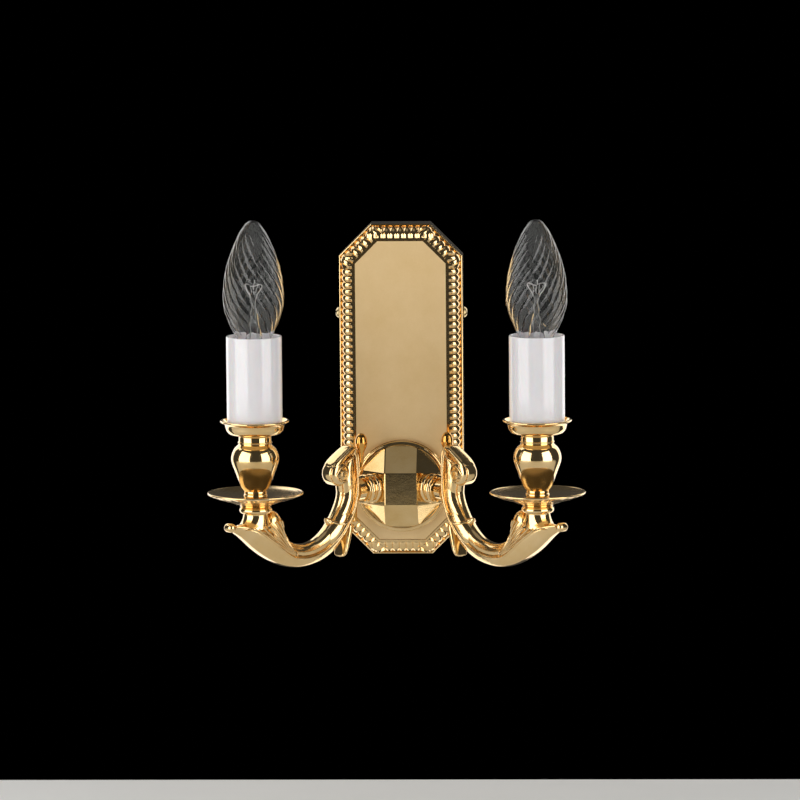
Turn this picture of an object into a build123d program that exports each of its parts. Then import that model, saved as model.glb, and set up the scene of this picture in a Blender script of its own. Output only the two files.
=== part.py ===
"""Double arm wall sconce, in millimetres.

X runs to the viewer's right, Y into the wall and Z up. The wall is the plane Y = 0, and the origin
is midway between the two wall screws. The boss, collars and arms are made in a frame of their own,
reach along the arm by height above the boss axis, and are then turned out to their side.
"""
import os
from math import cos, radians, sin, sqrt, tan

from build123d import *

# ---------------------------------------------------------------- back plate
plate_width = 72.0
plate_height = 194.5
plate_corner = 18.8          # leg of each 45 degree corner
plate_depth = 14.0           # wall to the outer rim
plate_wall = 1.5
rim_line = 1.0               # flat line outside the border
border_width = 7.7           # outer edge to raised panel
border_rise = 6.0            # height of the sloped border
panel_step = 1.0             # small step from the border up to the panel

# ---------------------------------------------------------------- wall bracket
bracket_sheet = 1.5
bracket_strap_width = 26.0
bracket_strap_height = 128.0
bracket_wing_height = 16.0
bracket_tab_depth = 12.0
bracket_side_gap = 0.4       # tab to the inside of the plate's rim
wall_slot_spacing = 100.0
wall_slot_width = 5.0
wall_slot_length = 12.0
cable_hole_radius = 6.0
side_screw_height = 44.5     # above the plate's centre
side_screw_depth = 7.0       # in front of the wall

# ---------------------------------------------------------------- screws
thread_radius = 2.0          # M4 everywhere
running_gap = 0.05           # round a screw that turns in its hole
hole_gap = 0.25              # round a screw in a plain hole
side_head_radius = 3.2
side_head_height = 2.8
side_screw_grip = 7.0        # length under the head
slot_width = 0.9
slot_depth = 1.1
earth_screw_drop = 22.0      # below the origin
earth_head_radius = 3.6
earth_head_height = 2.2
earth_washer_radius = 4.6
earth_washer_thickness = 0.8

# ---------------------------------------------------------------- boss
boss_drop = 55.8             # below the plate's centre
boss_front = 9.4             # half the front square
boss_facet = 14.3            # depth of the slanted facets
boss_round = 24.3            # radius that trims the facets' outer ends
boss_cavity_radius = 12.5
boss_cavity_depth = 5.0
ring_radius = 27.1
ring_thickness = 5.2
ring_edge = 2.0              # rounding of the ring's front edge
panel_hole_radius = 8.5      # for the leads, through the panel
boss_screw_offset = 17.5     # above and below the boss axis
boss_screw_bite = 4.0
boss_head_radius = 3.4
boss_head_height = 2.4

# ---------------------------------------------------------------- arm collar and nipple
arm_turn = 45.0              # each arm's angle from the wall
collar_length = 9.6
collar_radius = 8.5
collar_neck_radius = 6.8
collar_band = 3.0            # width of each of its two bands
collar_swell = 0.8           # how far a band's middle stands out past its edges
collar_groove_edge = 0.3     # slope on each side of the groove between them
collar_foot_flare = 0.8      # at the arm's end
nipple_radius = 4.0
nipple_bore = 2.7
nipple_end_gap = 0.6         # from its inner end to the ring
nipple_in_arm = 6.0
fit_gap = 0.05               # between parts that are fixed in each other
bore_overrun = 5.0           # a drilled bore runs on past the facet's outer end

# ---------------------------------------------------------------- arm
candle_reach = 114.6         # along the arm, from where both arms' axes cross
arm_seat_drop = 5.2          # seat of the candle stack, below the boss axis
arm_neck_radius = 7.3
arm_pad_radius = 7.6
passage_radius = 2.5
lead_radius = 1.6
arm_neck_height = 8.0
arm_neck_flare = 3.4         # how much wider its foot is
bud_offset = 3.3             # across the arm
bud_radius = 3.1
bud_stem = 13.0              # its length below the bud's middle
bud_stem_radius = 1.0
bud_tip = 5.3                # from its middle to its top
bud_foot_drop = 4.0          # the stem's slanted foot, down into the leaf
scroll_radius = 7.6
scroll_width = 15.0
lip_radius = 2.5
lip_width = 7.0

# ---------------------------------------------------------------- candle stack, from the arm up
pan_ring_radius = 9.4
pan_ring_height = 3.8
pan_ring_neck = 6.4
pan_radius = 27.6
pan_hub_height = 5.4
pan_dish_depth = 3.0
pan_edge = 1.1
pan_hub_flare = 1.4          # its hub's slanted side
pan_hub_flare_height = 2.2
pan_flat = 1.5               # level ring round the bead
bead_radius = 6.9
bead_swell = 0.7
bead_height = 2.4
cup_rim_radius = 19.9
cup_height = 42.4
cup_dish_depth = 3.2
cup_belly_radius = 13.8
cup_neck_radius = 9.35
cup_foot_radius = 6.5
cup_wall = 1.6
cup_foot_height = 1.2
cup_lip = 1.0                # flat on top of the rim
cup_seat_gap = 0.5           # between the candle tube and the dish's side
rod_radius = 5.0
rod_bore = 3.5
rod_in_arm = 9.0
rod_in_holder = 7.0
nut_flats = 14.0
nut_height = 3.0
candle_radius = 15.95
candle_wall = 1.2
candle_length = 51.7

# ---------------------------------------------------------------- lampholder and lamp
holder_radius = 12.6
holder_foot_radius = 8.0
holder_foot_height = 8.0
holder_height = 37.0
holder_floor = 5.5           # above the foot, under the centre contact
holder_shoulder = 5.0        # height of the cone over its foot
holder_edge = 1.0
holder_lift = 0.4            # above the clamping nut
contact_radius = 2.2
contact_height = 1.4
contact_strip_width = 3.0
contact_strip_height = 12.0
contact_strip_thickness = 0.4
lamp_gap = 0.3               # round the lamp's cap, so that it lifts out
contact_gap = 0.05
cap_radius = 6.95
cap_wall = 0.4
cap_skirt_radius = 8.6
cap_skirt_height = 4.0       # with the cone that leads to it
cap_skirt_cone = 0.8
button_radius = 2.4
button_height = 0.8
insulator_height = 2.2
insulator_collar = 1.5       # the part inside the cap
insulator_lip = 0.8          # past the button's side
glass_radius = 17.5
glass_length = 74.5
glass_neck_radius = 8.0
glass_wall = 0.7
glass_in_cap = 1.0           # how deep its neck sits in the cap
glass_tip_wall = 1.1         # thicker where it was sealed
mount_height = 31.0
mount_rod_radius = 1.6
mount_flare_height = 17.0
mount_flare_waist = 3.4      # radius of the flare at three quarters of its height
mount_knob_swell = 0.6
mount_knob_height = 1.5
filament_wire = 0.3
filament_span = 2.6
filament_rise = 7.0          # above the mount
filament_drop = 3.0          # of its stays, below the mount's top

# ---------------------------------------------------------------- terminal block
block_width = 24.0
block_depth = 11.0
block_height = 14.0
block_lift = 18.0            # its lower face, above the origin
block_ways = 3
block_tube_radius = 2.9
block_screw_radius = 1.5
block_screw_height = 2.0
block_well_depth = 4.0

# ---------------------------------------------------------------- leads
lead_turn_height = 14.0      # above the boss axis, where a lead leaves the plate's back
lead_behind_panel = 5.0      # as far behind the panel's face it turns to the panel's hole
lead_in_boss = 9.0           # reach along the arm where it enters the nipple

# ---------------------------------------------------------------- places worked out from the above
panel_front = plate_depth + border_rise + panel_step
boss_z = -boss_drop
boss_back = panel_front + ring_thickness
boss_face = boss_back + boss_facet
arm_root_y = -(boss_face - boss_front - boss_facet)
facet_reach = sqrt(2) * (boss_front + boss_facet / 2)
nipple_in_boss = boss_facet / sqrt(2) - nipple_radius - nipple_end_gap
seat_reach = facet_reach + collar_length
arm_seat_z = boss_z - arm_seat_drop
pan_bottom = pan_ring_height
pan_floor = pan_bottom + pan_hub_height
pan_rim = pan_floor + pan_dish_depth
cup_bottom = pan_floor + bead_height
cup_rim = cup_bottom + cup_height
cup_floor = cup_rim - cup_dish_depth
holder_bottom = cup_floor + nut_height + holder_lift
holder_top = holder_bottom + holder_height
bore_floor = holder_bottom + holder_foot_height + holder_floor
lamp_seat = bore_floor + contact_height + contact_gap
cap_bottom = lamp_seat + button_height + insulator_height
skirt_bottom = holder_top + lamp_gap
cap_top = skirt_bottom + cap_skirt_height
glass_bottom = cap_top - glass_in_cap
SIDES = {"left": -1, "right": 1}

# Outlines of the turned pieces, as shares of the piece's own radius and height.
PAN_UNDERSIDE = [(0.55, 0.44), (0.87, 0.78)]
PAN_DISH = [(0.85, 0.63), (0.55, 0.17)]
CUP_BODY = [(0.61, 0.10), (0.81, 0.27), (1.0, 0.458), (0.90, 0.595)]
CUP_NECK = (0.689, 0.783, 0.807)
CUP_HEAD = [(0.804, 0.844), (0.86, 0.915), (1.0, 0.972)]
GLASS = [(0.457, 0.034), (0.709, 0.157), (0.877, 0.251), (0.985, 0.344), (1.0, 0.43), (0.94, 0.577),
         (0.786, 0.716), (0.543, 0.856), (0.35, 0.949)]


# ---------------------------------------------------------------- helpers
def front(depth):
    """Plane parallel to the wall, `depth` in front of it, seen from the viewer."""
    return Plane(origin=(0, -depth, 0), x_dir=(1, 0, 0), z_dir=(0, -1, 0))


def plate_outline(inset):
    """The plate's octagon, drawn in by `inset` all round."""
    w = plate_width / 2 - inset
    h = plate_height / 2 - inset
    c = plate_corner - inset * (2 - sqrt(2))
    return make_face(Polyline((w - c, h), (w, h - c), (w, c - h), (w - c, -h),
                              (c - w, -h), (-w, c - h), (-w, h - c), (c - w, h), close=True))


def turned(*stretches):
    """Solid of revolution about Z. A stretch is a list of (radius, height) points, joined by
    straight lines, or by the curve that its first word names."""
    curves = {"curve": Spline, "arc": ThreePointArc}
    edges = []
    for stretch in stretches:
        kind = curves.get(stretch[0], Polyline)
        points = [(p[0], 0, p[1]) for p in stretch if p not in curves]
        edges.append(kind(*points))
    start, end = edges[0] @ 0, edges[-1] @ 1
    if (start - end).length > 1e-6:
        edges.append(Line(end, start))
    return revolve(make_face(edges), axis=Axis.Z)


def rod_between(start, end, radius):
    """Plain round bar from one point to another."""
    direction = Vector(*end) - Vector(*start)
    return extrude(Plane(origin=start, z_dir=direction) * Circle(radius), direction.length)


def along_y(x, z, back, front_y, radius):
    """Round bar along Y between two depths in front of the wall."""
    return rod_between((x, -back, z), (x, -front_y, z), radius)


def limb(stations, first=None, last=None):
    """Loft through ellipses whose centres lie in the arm's plane. A station is
    (reach, height, half thickness in the plane, half width across it)."""
    sections = []
    for i, (reach, height, thick, wide) in enumerate(stations):
        before = stations[max(i - 1, 0)]
        after = stations[min(i + 1, len(stations) - 1)]
        heading = Vector(after[0] - before[0], 0, after[1] - before[1])
        if i == 0 and first:
            heading = Vector(first[0], 0, first[1])
        if i == len(stations) - 1 and last:
            heading = Vector(last[0], 0, last[1])
        heading = heading.normalized()
        across = Vector(heading.Z, 0, -heading.X)
        section = Plane(origin=(reach, 0, height), x_dir=across, z_dir=heading)
        sections.append(section * Ellipse(thick, wide))
    return loft(sections)


def route(points):
    """Straight runs joined by tangent arcs, each as large as its two runs allow."""
    points = [Vector(*p) for p in points]
    edges = []
    radii = []
    at = points[0]
    for before, corner, after in zip(points, points[1:], points[2:]):
        into, out = (corner - before), (after - corner)
        turn = radians(into.get_angle(out))
        radius = 0.45 * min(into.length, out.length) / tan(turn / 2)
        radii.append(round(radius, 1))
        cut = radius * tan(turn / 2)
        leave = corner - into.normalized() * cut
        join = corner + out.normalized() * cut
        middle = (out.normalized() - into.normalized()).normalized()
        top = corner + middle * (radius / cos(turn / 2) - radius)
        edges += [Line(at, leave), ThreePointArc(leave, top, join)]
        at = join
    edges.append(Line(at, points[-1]))
    print("arc radii along a route:", radii)
    return Wire(edges)


def hose(points, radius):
    """Round bar along a route."""
    path = route(points)
    return sweep(Plane(origin=path @ 0, z_dir=path % 0) * Circle(radius), path=path)


def on_side(shape, side):
    """From the arm's own frame out to the left or right arm. Both arms are one casting, turned."""
    turn = 270 + side * arm_turn
    return Pos(0, arm_root_y, boss_z) * Rot(0, 0, turn) * shape


def arm_point(side, reach, height, across=0.0):
    """A point of the arm's frame, in the sconce's frame."""
    angle = radians(270 + side * arm_turn)
    return (reach * cos(angle) - across * sin(angle),
            arm_root_y + reach * sin(angle) + across * cos(angle), boss_z + height)


def on_stack(shape, side):
    """From the candle's own axis, heights above the arm's seat, out to its place."""
    x, y, _ = arm_point(side, candle_reach, 0)
    return Pos(x, y, arm_seat_z) * shape


# ---------------------------------------------------------------- wall side
def back_plate():
    slope_top = plate_depth + border_rise
    shell = extrude(front(0) * plate_outline(0), plate_depth)
    shell += loft([front(plate_depth) * plate_outline(rim_line),
                   front(slope_top) * plate_outline(border_width)])
    shell += extrude(front(slope_top) * plate_outline(border_width), panel_step)
    inner_step = border_width + plate_wall
    hollow = extrude(front(0) * plate_outline(plate_wall), plate_depth - rim_line)
    hollow += loft([front(plate_depth - rim_line) * plate_outline(plate_wall + rim_line),
                    front(slope_top - plate_wall) * plate_outline(inner_step)])
    hollow += extrude(front(slope_top - plate_wall) * plate_outline(inner_step), panel_step)
    shell -= hollow
    shell -= along_y(0, boss_z, 0, panel_front, panel_hole_radius)
    for sign in (-1, 1):
        shell -= along_y(0, boss_z + sign * boss_screw_offset, 0, panel_front, thread_radius + hole_gap)
    reach = plate_width / 2
    shell -= rod_between((-reach, -side_screw_depth, side_screw_height),
                         (reach, -side_screw_depth, side_screw_height), thread_radius + hole_gap)
    return shell


def wall_bracket():
    half_span = plate_width / 2 - plate_wall - bracket_side_gap
    strap = extrude(front(0) * Rectangle(bracket_strap_width, bracket_strap_height), bracket_sheet)
    wing = Pos(0, 0, side_screw_height) * extrude(
        front(0) * Rectangle(2 * half_span, bracket_wing_height), bracket_sheet)
    strap += wing
    for sign in (-1, 1):
        strap += Pos(sign * (half_span - bracket_sheet / 2), -bracket_tab_depth / 2, side_screw_height) * Box(
            bracket_sheet, bracket_tab_depth, bracket_wing_height)
        slot = front(0) * Pos(0, sign * wall_slot_spacing / 2) * SlotOverall(
            wall_slot_length, wall_slot_width, rotation=90)
        strap -= extrude(slot, bracket_sheet)
    strap -= rod_between((-half_span, -side_screw_depth, side_screw_height),
                         (half_span, -side_screw_depth, side_screw_height), thread_radius + running_gap)
    strap -= along_y(0, 0, 0, bracket_sheet, cable_hole_radius)
    strap -= along_y(0, -earth_screw_drop, 0, bracket_sheet, thread_radius + fit_gap)
    return strap


def slotted_screw(head_radius, head_height, length, rounded):
    """Screw along Z: shank below the origin, slotted head above it."""
    head = Cylinder(head_radius, head_height, align=(Align.CENTER, Align.CENTER, Align.MIN))
    head = fillet(head.edges().group_by(Axis.Z)[-1], rounded)
    slot = Pos(0, 0, head_height) * Box(3 * head_radius, slot_width, 2 * slot_depth)
    shank = Cylinder(thread_radius, length, align=(Align.CENTER, Align.CENTER, Align.MAX))
    return head - slot + shank


def side_screw(side):
    screw = slotted_screw(side_head_radius, side_head_height, side_screw_grip, side_head_height * 0.6)
    turn = Rot(0, side * 90, 0)
    return Pos(side * plate_width / 2, -side_screw_depth, side_screw_height) * turn * screw


def earth_screw():
    screw = slotted_screw(earth_head_radius, earth_head_height, bracket_sheet + earth_washer_thickness,
                          earth_head_height / 3)
    washer = Cylinder(earth_washer_radius, earth_washer_thickness,
                      align=(Align.CENTER, Align.CENTER, Align.MAX))
    place = Pos(0, -bracket_sheet - earth_washer_thickness, -earth_screw_drop) * Rot(90, 0, 0)
    return place * (screw + washer)


def terminal_block():
    middle_y = -bracket_sheet - block_depth / 2
    middle_z = block_lift + block_height / 2
    block = Pos(0, middle_y, middle_z) * Box(block_width, block_depth, block_height)
    pitch = block_width / block_ways
    for way in range(block_ways):
        x = (way - (block_ways - 1) / 2) * pitch
        for sign in (-1, 1):
            well_z = middle_z + sign * block_height / 4
            face = bracket_sheet + block_depth
            block -= along_y(x, well_z, face - block_well_depth, face, block_tube_radius)
    return block


def terminal_screws():
    pitch = block_width / block_ways
    screws = []
    for way in range(block_ways):
        x = (way - (block_ways - 1) / 2) * pitch
        for sign in (-1, 1):
            z = block_lift + block_height / 2 + sign * block_height / 4
            base = bracket_sheet + block_depth - block_well_depth
            screw = along_y(x, z, base, base + block_screw_height, block_screw_radius)
            screw -= Pos(x, -base - block_screw_height, z) * Box(
                3 * block_screw_radius, block_screw_height, slot_width / 2)
            screws.append(screw)
    return Compound(screws)


# ---------------------------------------------------------------- boss
def boss_body():
    """Front square, four slanted facets and four corner triangles, trimmed to a round."""
    block = along_y(0, boss_z, boss_back, boss_face, boss_round)
    size = 6 * boss_round
    centre = Vector(0, -boss_back, boss_z)
    for step in range(8):
        angle = radians(45 * step)
        outward = Vector(cos(angle), 0, sin(angle))
        if step % 2 == 0:
            normal = outward + Vector(0, -1, 0)
            foot = outward * (boss_front + boss_facet)
        else:
            normal = outward * sqrt(2) + Vector(0, -1, 0)
            foot = outward * ((2 * boss_front + boss_facet) / sqrt(2))
        cutter = Plane(origin=centre + foot, z_dir=normal) * Rectangle(size, size)
        block -= extrude(cutter, size)
    block -= along_y(0, boss_z, boss_back, boss_back + boss_cavity_depth, boss_cavity_radius)
    for sign in (-1, 1):
        block -= along_y(0, boss_z + sign * boss_screw_offset, boss_back,
                         boss_back + boss_screw_bite + fit_gap, thread_radius + fit_gap)
    bore = rod_between((facet_reach - nipple_in_boss - bore_overrun, 0, 0),
                       (facet_reach + bore_overrun, 0, 0), nipple_radius + fit_gap)
    for side in SIDES.values():
        block -= on_side(bore, side)
    return block


def boss_ring():
    ring = along_y(0, boss_z, panel_front, boss_back, ring_radius)
    ring = fillet(ring.edges().group_by(Axis.Y)[0], ring_edge)
    ring -= along_y(0, boss_z, panel_front, boss_back, boss_cavity_radius)
    for sign in (-1, 1):
        ring -= along_y(0, boss_z + sign * boss_screw_offset, panel_front, boss_back,
                        thread_radius + hole_gap)
    return ring


def boss_screws():
    """The two screws that draw boss and ring onto the panel from behind."""
    grip = plate_wall + ring_thickness + boss_screw_bite
    screw = slotted_screw(boss_head_radius, boss_head_height, grip, boss_head_height / 3)
    back = -(panel_front - plate_wall)
    return Compound([Pos(0, back, boss_z + sign * boss_screw_offset) * Rot(-90, 0, 0) * screw
                     for sign in (-1, 1)])


# ---------------------------------------------------------------- arm, in its own frame
def arm_collar():
    """Turned collar with two bands, from the boss facet to the arm's seat."""
    inner = nipple_radius + fit_gap
    edge, neck = collar_radius - collar_swell, collar_neck_radius
    second = (collar_length - 2 * collar_band) / 2 + collar_band
    outline = [[(inner, 0), (edge, 0)]]
    for low, after in ((0, second), (second, collar_length)):
        high = low + collar_band
        foot = neck if after == second else neck + collar_foot_flare
        outline.append(["arc", (edge, low), (collar_radius, (low + high) / 2), (edge, high)])
        outline.append([(edge, high), (foot, high + collar_groove_edge), (foot, after - collar_groove_edge)])
    outline[2].append((edge, second))
    outline[4] += [(foot, collar_length), (inner, collar_length)]
    return Pos(facet_reach, 0, 0) * Rot(0, 90, 0) * turned(*outline)


def arm_nipple():
    inner_end, outer_end = (facet_reach - nipple_in_boss, 0, 0), (seat_reach + nipple_in_arm, 0, 0)
    return rod_between(inner_end, outer_end, nipple_radius) - rod_between(inner_end, outer_end, nipple_bore)


# Stations of the cast arm: reach, height, half thickness in the arm's plane, half width across it.
TRUNK = [(47.2, 11.0, 4.6, 5.0), (45.0, 5.0, 5.1, 5.2), (44.6, -0.5, 5.2, 5.2), (46.0, -6.0, 5.4, 5.4),
         (49.6, -12.8, 5.5, 5.5), (54.6, -20.4, 5.4, 5.4), (62.0, -27.0, 5.2, 5.2), (71.0, -30.9, 5.0, 5.0),
         (80.5, -32.2, 4.8, 5.0), (90.0, -31.0, 5.0, 5.2), (98.0, -26.0, 5.6, 6.0)]
KEEL = [(39.5, 14.5, 1.2, 2.6), (38.6, 8.0, 1.7, 4.6), (38.6, 1.0, 2.0, 6.3), (40.2, -7.0, 2.3, 6.4),
        (43.6, -14.5, 2.6, 6.4), (49.2, -22.3, 2.9, 6.3), (56.6, -29.0, 3.2, 6.2), (66.0, -34.0, 3.6, 6.2),
        (77.0, -36.0, 4.0, 6.2), (88.0, -34.8, 5.2, 6.4), (99.0, -28.9, 7.6, 7.4), (108.0, -22.2, 9.0, 8.4),
        (119.0, -16.4, 6.6, 7.6), (127.0, -12.9, 4.2, 5.6), (133.0, -11.8, 2.7, 3.8)]
CREST = [(103.6, -25.0, 6.4, 7.6), (102.4, -18.0, 6.2, 8.2), (102.8, -13.4, 5.0, 7.2),
         (104.0, -11.4, 2.8, 5.0)]
HUSK = [(47.6, -10.2, 6.3, 6.8), (50.6, -16.0, 6.6, 6.9), (55.4, -22.0, 6.2, 6.4), (62.0, -27.4, 5.3, 5.5)]
THORN = [(51.5, -15.0, 3.6, 4.6), (56.0, -14.0, 2.6, 3.2), (61.2, -13.6, 0.9, 1.2)]
LEAF = [(40.3, 26.3, 1.3, 2.6), (42.4, 24.4, 2.1, 5.2), (46.2, 21.0, 2.8, 7.2), (51.5, 16.6, 4.2, 7.8)]
TAIL = [(44.5, -21.0, 2.4, 5.6), (46.6, -28.0, 2.3, 4.8), (49.4, -34.4, 1.9, 3.2), (50.6, -37.2, 0.8, 1.2)]
SCROLL = (52.4, 11.8)        # reach and height of the rolled end at the top
LIP = (134.6, -11.8)         # and of the rolled lip at the arm's tip
BUD = (35.2, 28.6)           # and of the bud's middle
PASSAGE = [(44.0, -0.6), (48.4, -12.6), (57.6, -24.6), (72.0, -32.0), (88.0, -33.0), (102.5, -27.0)]
PASSAGE_RISE = 13.0          # the passage turns upright this far under the candle's seat


def arm_passage():
    """Points of the lead's way through the arm and up to the candle's axis."""
    start = (seat_reach + nipple_in_arm / 3, 0)
    end = (candle_reach, -arm_seat_drop)
    foot = (candle_reach, -arm_seat_drop - PASSAGE_RISE)
    return [(reach, 0, height) for reach, height in [start, *PASSAGE, foot, end]]


def roll(centre, radius, width):
    """Rolled end of a leaf: a short bar across the arm with rounded ends."""
    bar = Pos(centre[0], 0, centre[1]) * Rot(90, 0, 0) * Cylinder(radius, width)
    return fillet(bar.edges(), min(radius, width / 2) * 0.55)


def bud():
    """Flattened bud on its stem, beside the arm's plane."""
    low, middle, high = BUD[1] - bud_stem, BUD[1], BUD[1] + bud_tip
    shape = turned(["curve", (bud_stem_radius, low), (1.3 * bud_stem_radius, middle - 2 * bud_radius),
                    (bud_radius, middle), (0.0, high)],
                   [(0.0, high), (0.0, low), (bud_stem_radius, low)])
    shape = Pos(BUD[0], bud_offset, 0) * shape
    top = (BUD[0], bud_offset, low + bud_stem_radius)
    foot = (BUD[0] + 2 * bud_stem_radius, bud_stem_radius / 2, low - bud_foot_drop)
    return shape + rod_between(top, foot, 1.5 * bud_stem_radius)


def arm_neck():
    """Flared neck under the candle stack."""
    r, h, flare = arm_neck_radius, arm_neck_height, arm_neck_flare
    top = -arm_seat_drop
    low = top - h
    shape = turned(["curve", (r + flare, low), (r + flare / 2, low + 0.4 * h), (r, low + 0.7 * h), (r, top)],
                   [(r, top), (0, top), (0, low), (r + flare, low)])
    return Pos(candle_reach, 0, 0) * shape


def arm():
    body = limb(KEEL)
    for stations in (TRUNK, CREST, HUSK, THORN, LEAF, TAIL):
        body += limb(stations)
    body += roll(SCROLL, scroll_radius, scroll_width)
    body += roll(LIP, lip_radius, lip_width)
    body += bud()
    body += arm_neck()
    seat, seat_top = (seat_reach, 0, 0), (candle_reach, 0, -arm_seat_drop)
    body += rod_between(seat, (TRUNK[2][0], 0, 0), arm_pad_radius)
    body -= rod_between((facet_reach, 0, 0), seat, 3 * arm_pad_radius)
    body -= rod_between(seat, (seat_reach + nipple_in_arm, 0, 0), nipple_radius + fit_gap)
    body -= hose(arm_passage(), passage_radius)
    body -= rod_between((candle_reach, 0, -arm_seat_drop - rod_in_arm), seat_top, rod_radius + fit_gap)
    return body


# ---------------------------------------------------------------- candle stack
def pan_ring():
    inner, r, h = rod_radius + fit_gap, pan_ring_radius, pan_ring_height
    return turned([(inner, 0), (pan_ring_neck, 0)],
                  [(pan_ring_neck, 0), (r - h / 2, 0)], ["arc", (r - h / 2, 0), (r, h / 2), (r - h / 2, h)],
                  [(r - h / 2, h), (inner, h)])


def drip_pan():
    inner = rod_radius + fit_gap
    hub = (pan_ring_neck + pan_hub_flare, pan_bottom + pan_hub_flare_height)
    edge_low = (pan_radius, pan_rim - pan_edge)
    edge_high = (pan_radius - pan_edge, pan_rim)
    flat = (bead_radius + pan_flat, pan_floor)
    underside = [(r * pan_radius, hub[1] + h * (edge_low[1] - hub[1])) for r, h in PAN_UNDERSIDE]
    dish = [(r * pan_radius, pan_floor + h * pan_dish_depth) for r, h in PAN_DISH]
    return turned([(inner, pan_bottom), (pan_ring_neck, pan_bottom), hub],
                  ["curve", hub, *underside, edge_low],
                  [edge_low, (pan_radius, pan_rim), edge_high],
                  ["curve", edge_high, *dish, flat],
                  [flat, (inner, pan_floor), (inner, pan_bottom)])


def cup_bead():
    inner, edge = rod_radius + fit_gap, bead_radius - bead_swell
    low, high = pan_floor, cup_bottom
    return turned([(inner, low), (edge, low)],
                  ["arc", (edge, low), (bead_radius, (low + high) / 2), (edge, high)],
                  [(edge, high), (inner, high)])


def candle_cup():
    """Vase-shaped cup with a dished top that holds the candle tube."""
    inner, wall = rod_radius + fit_gap, cup_wall
    neck_low, neck_high, head_low = [cup_bottom + share * cup_height for share in CUP_NECK]
    foot = (cup_foot_radius, cup_bottom + cup_foot_height)
    neck = (cup_neck_radius, neck_low)
    body = [(r * cup_belly_radius, cup_bottom + h * cup_height) for r, h in CUP_BODY]
    head = [(r * cup_rim_radius, cup_bottom + h * cup_height) for r, h in CUP_HEAD]
    dish = candle_radius + cup_seat_gap
    inner_neck = (cup_neck_radius - wall, neck_low)
    inner_body = [(r - wall, z + wall / 3) for r, z in body]
    inner_foot = (inner + wall / 3, cup_bottom + 1.5 * wall)
    return turned(
        [(inner, cup_bottom), (cup_foot_radius, cup_bottom), foot],
        ["curve", foot, *body, neck],
        [neck, (cup_neck_radius, neck_high), (cup_neck_radius + wall / 2, head_low), *head,
         (cup_rim_radius, cup_rim), (cup_rim_radius - cup_lip, cup_rim), (dish, cup_floor + wall),
         (dish, cup_floor), (inner, cup_floor), (inner, cup_floor - wall),
         (cup_neck_radius - wall, neck_high), inner_neck],
        ["curve", inner_neck, *inner_body[::-1], inner_foot],
        [inner_foot, (inner, cup_bottom + wall), (inner, cup_bottom)])


def candle_rod():
    low, high = (0, 0, -rod_in_arm), (0, 0, holder_bottom + rod_in_holder)
    return rod_between(low, high, rod_radius) - rod_between(low, high, rod_bore)


def cup_nut():
    nut = extrude(Pos(0, 0, cup_floor) * RegularPolygon(nut_flats / 2, 6, major_radius=False), nut_height)
    return nut - rod_between((0, 0, cup_floor), (0, 0, cup_floor + nut_height), rod_radius + fit_gap)


def candle_tube():
    outer, inner = candle_radius, candle_radius - candle_wall
    low, high = cup_floor, cup_floor + candle_length
    lip = candle_wall / 2
    return turned([(inner, low), (outer, low), (outer, high - lip), (outer - lip * 0.4, high),
                   (inner, high), (inner, low)])


def lampholder():
    low, foot_top, high = holder_bottom, holder_bottom + holder_foot_height, holder_top
    bore = cap_radius + lamp_gap
    socket, socket_top = rod_radius + fit_gap, low + rod_in_holder
    body = turned([(0, socket_top), (socket, socket_top), (socket, low), (holder_foot_radius, low),
                   (holder_foot_radius, foot_top - holder_shoulder), (holder_radius, foot_top),
                   (holder_radius, high - holder_edge), (holder_radius - holder_edge, high),
                   (bore, high), (bore, bore_floor), (0, bore_floor), (0, socket_top)])
    body -= Pos(bore, 0, bore_floor + contact_strip_height / 2) * Box(
        2 * (contact_strip_thickness + fit_gap), contact_strip_width + 2 * fit_gap, contact_strip_height)
    return body


def lampholder_contacts():
    """Centre contact on the bore's floor, and the strip that touches the cap's side."""
    centre = Pos(0, 0, bore_floor) * Cylinder(contact_radius, contact_height,
                                              align=(Align.CENTER, Align.CENTER, Align.MIN))
    bore = cap_radius + lamp_gap
    inside, outside = cap_radius + contact_gap, bore + contact_strip_thickness
    strip = Pos((inside + outside) / 2, 0, bore_floor + contact_strip_height / 2)
    strip *= Box(outside - inside, contact_strip_width, contact_strip_height)
    return Compound([centre, strip])


# ---------------------------------------------------------------- lamp
def lamp_cap():
    r, wall, skirt = cap_radius, cap_wall, cap_skirt_radius
    low, high = cap_bottom, cap_top
    cone_top = skirt_bottom + cap_skirt_cone
    shell = turned([(r - wall, low), (r, low), (r, skirt_bottom), (skirt, cone_top), (skirt, high),
                    (skirt - wall, high), (skirt - wall, cone_top + wall), (r - wall, skirt_bottom + wall),
                    (r - wall, low)])
    button = Pos(0, 0, lamp_seat) * Cylinder(button_radius, button_height,
                                             align=(Align.CENTER, Align.CENTER, Align.MIN))
    return Compound([shell, button])


def lamp_insulator():
    low, high = lamp_seat + button_height, cap_bottom + insulator_collar
    r = cap_radius - cap_wall - fit_gap
    return turned([(0, low), (button_radius + insulator_lip, low), (r, cap_bottom), (r, high),
                   (0, high), (0, low)])


def glass_profile(inset):
    """Lamp glass from its neck to its tip, drawn in by the wall."""
    points = [(glass_neck_radius - inset, glass_bottom)]
    points += [(share * glass_radius - inset, glass_bottom + level * glass_length) for share, level in GLASS]
    return points + [(0.0, glass_bottom + glass_length - inset * glass_tip_wall / glass_wall)]


def lamp_glass():
    outer, inner = glass_profile(0), glass_profile(glass_wall)
    return turned(["curve"] + outer, [outer[-1], inner[-1]], ["curve"] + inner[::-1], [inner[0], outer[0]])


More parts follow.
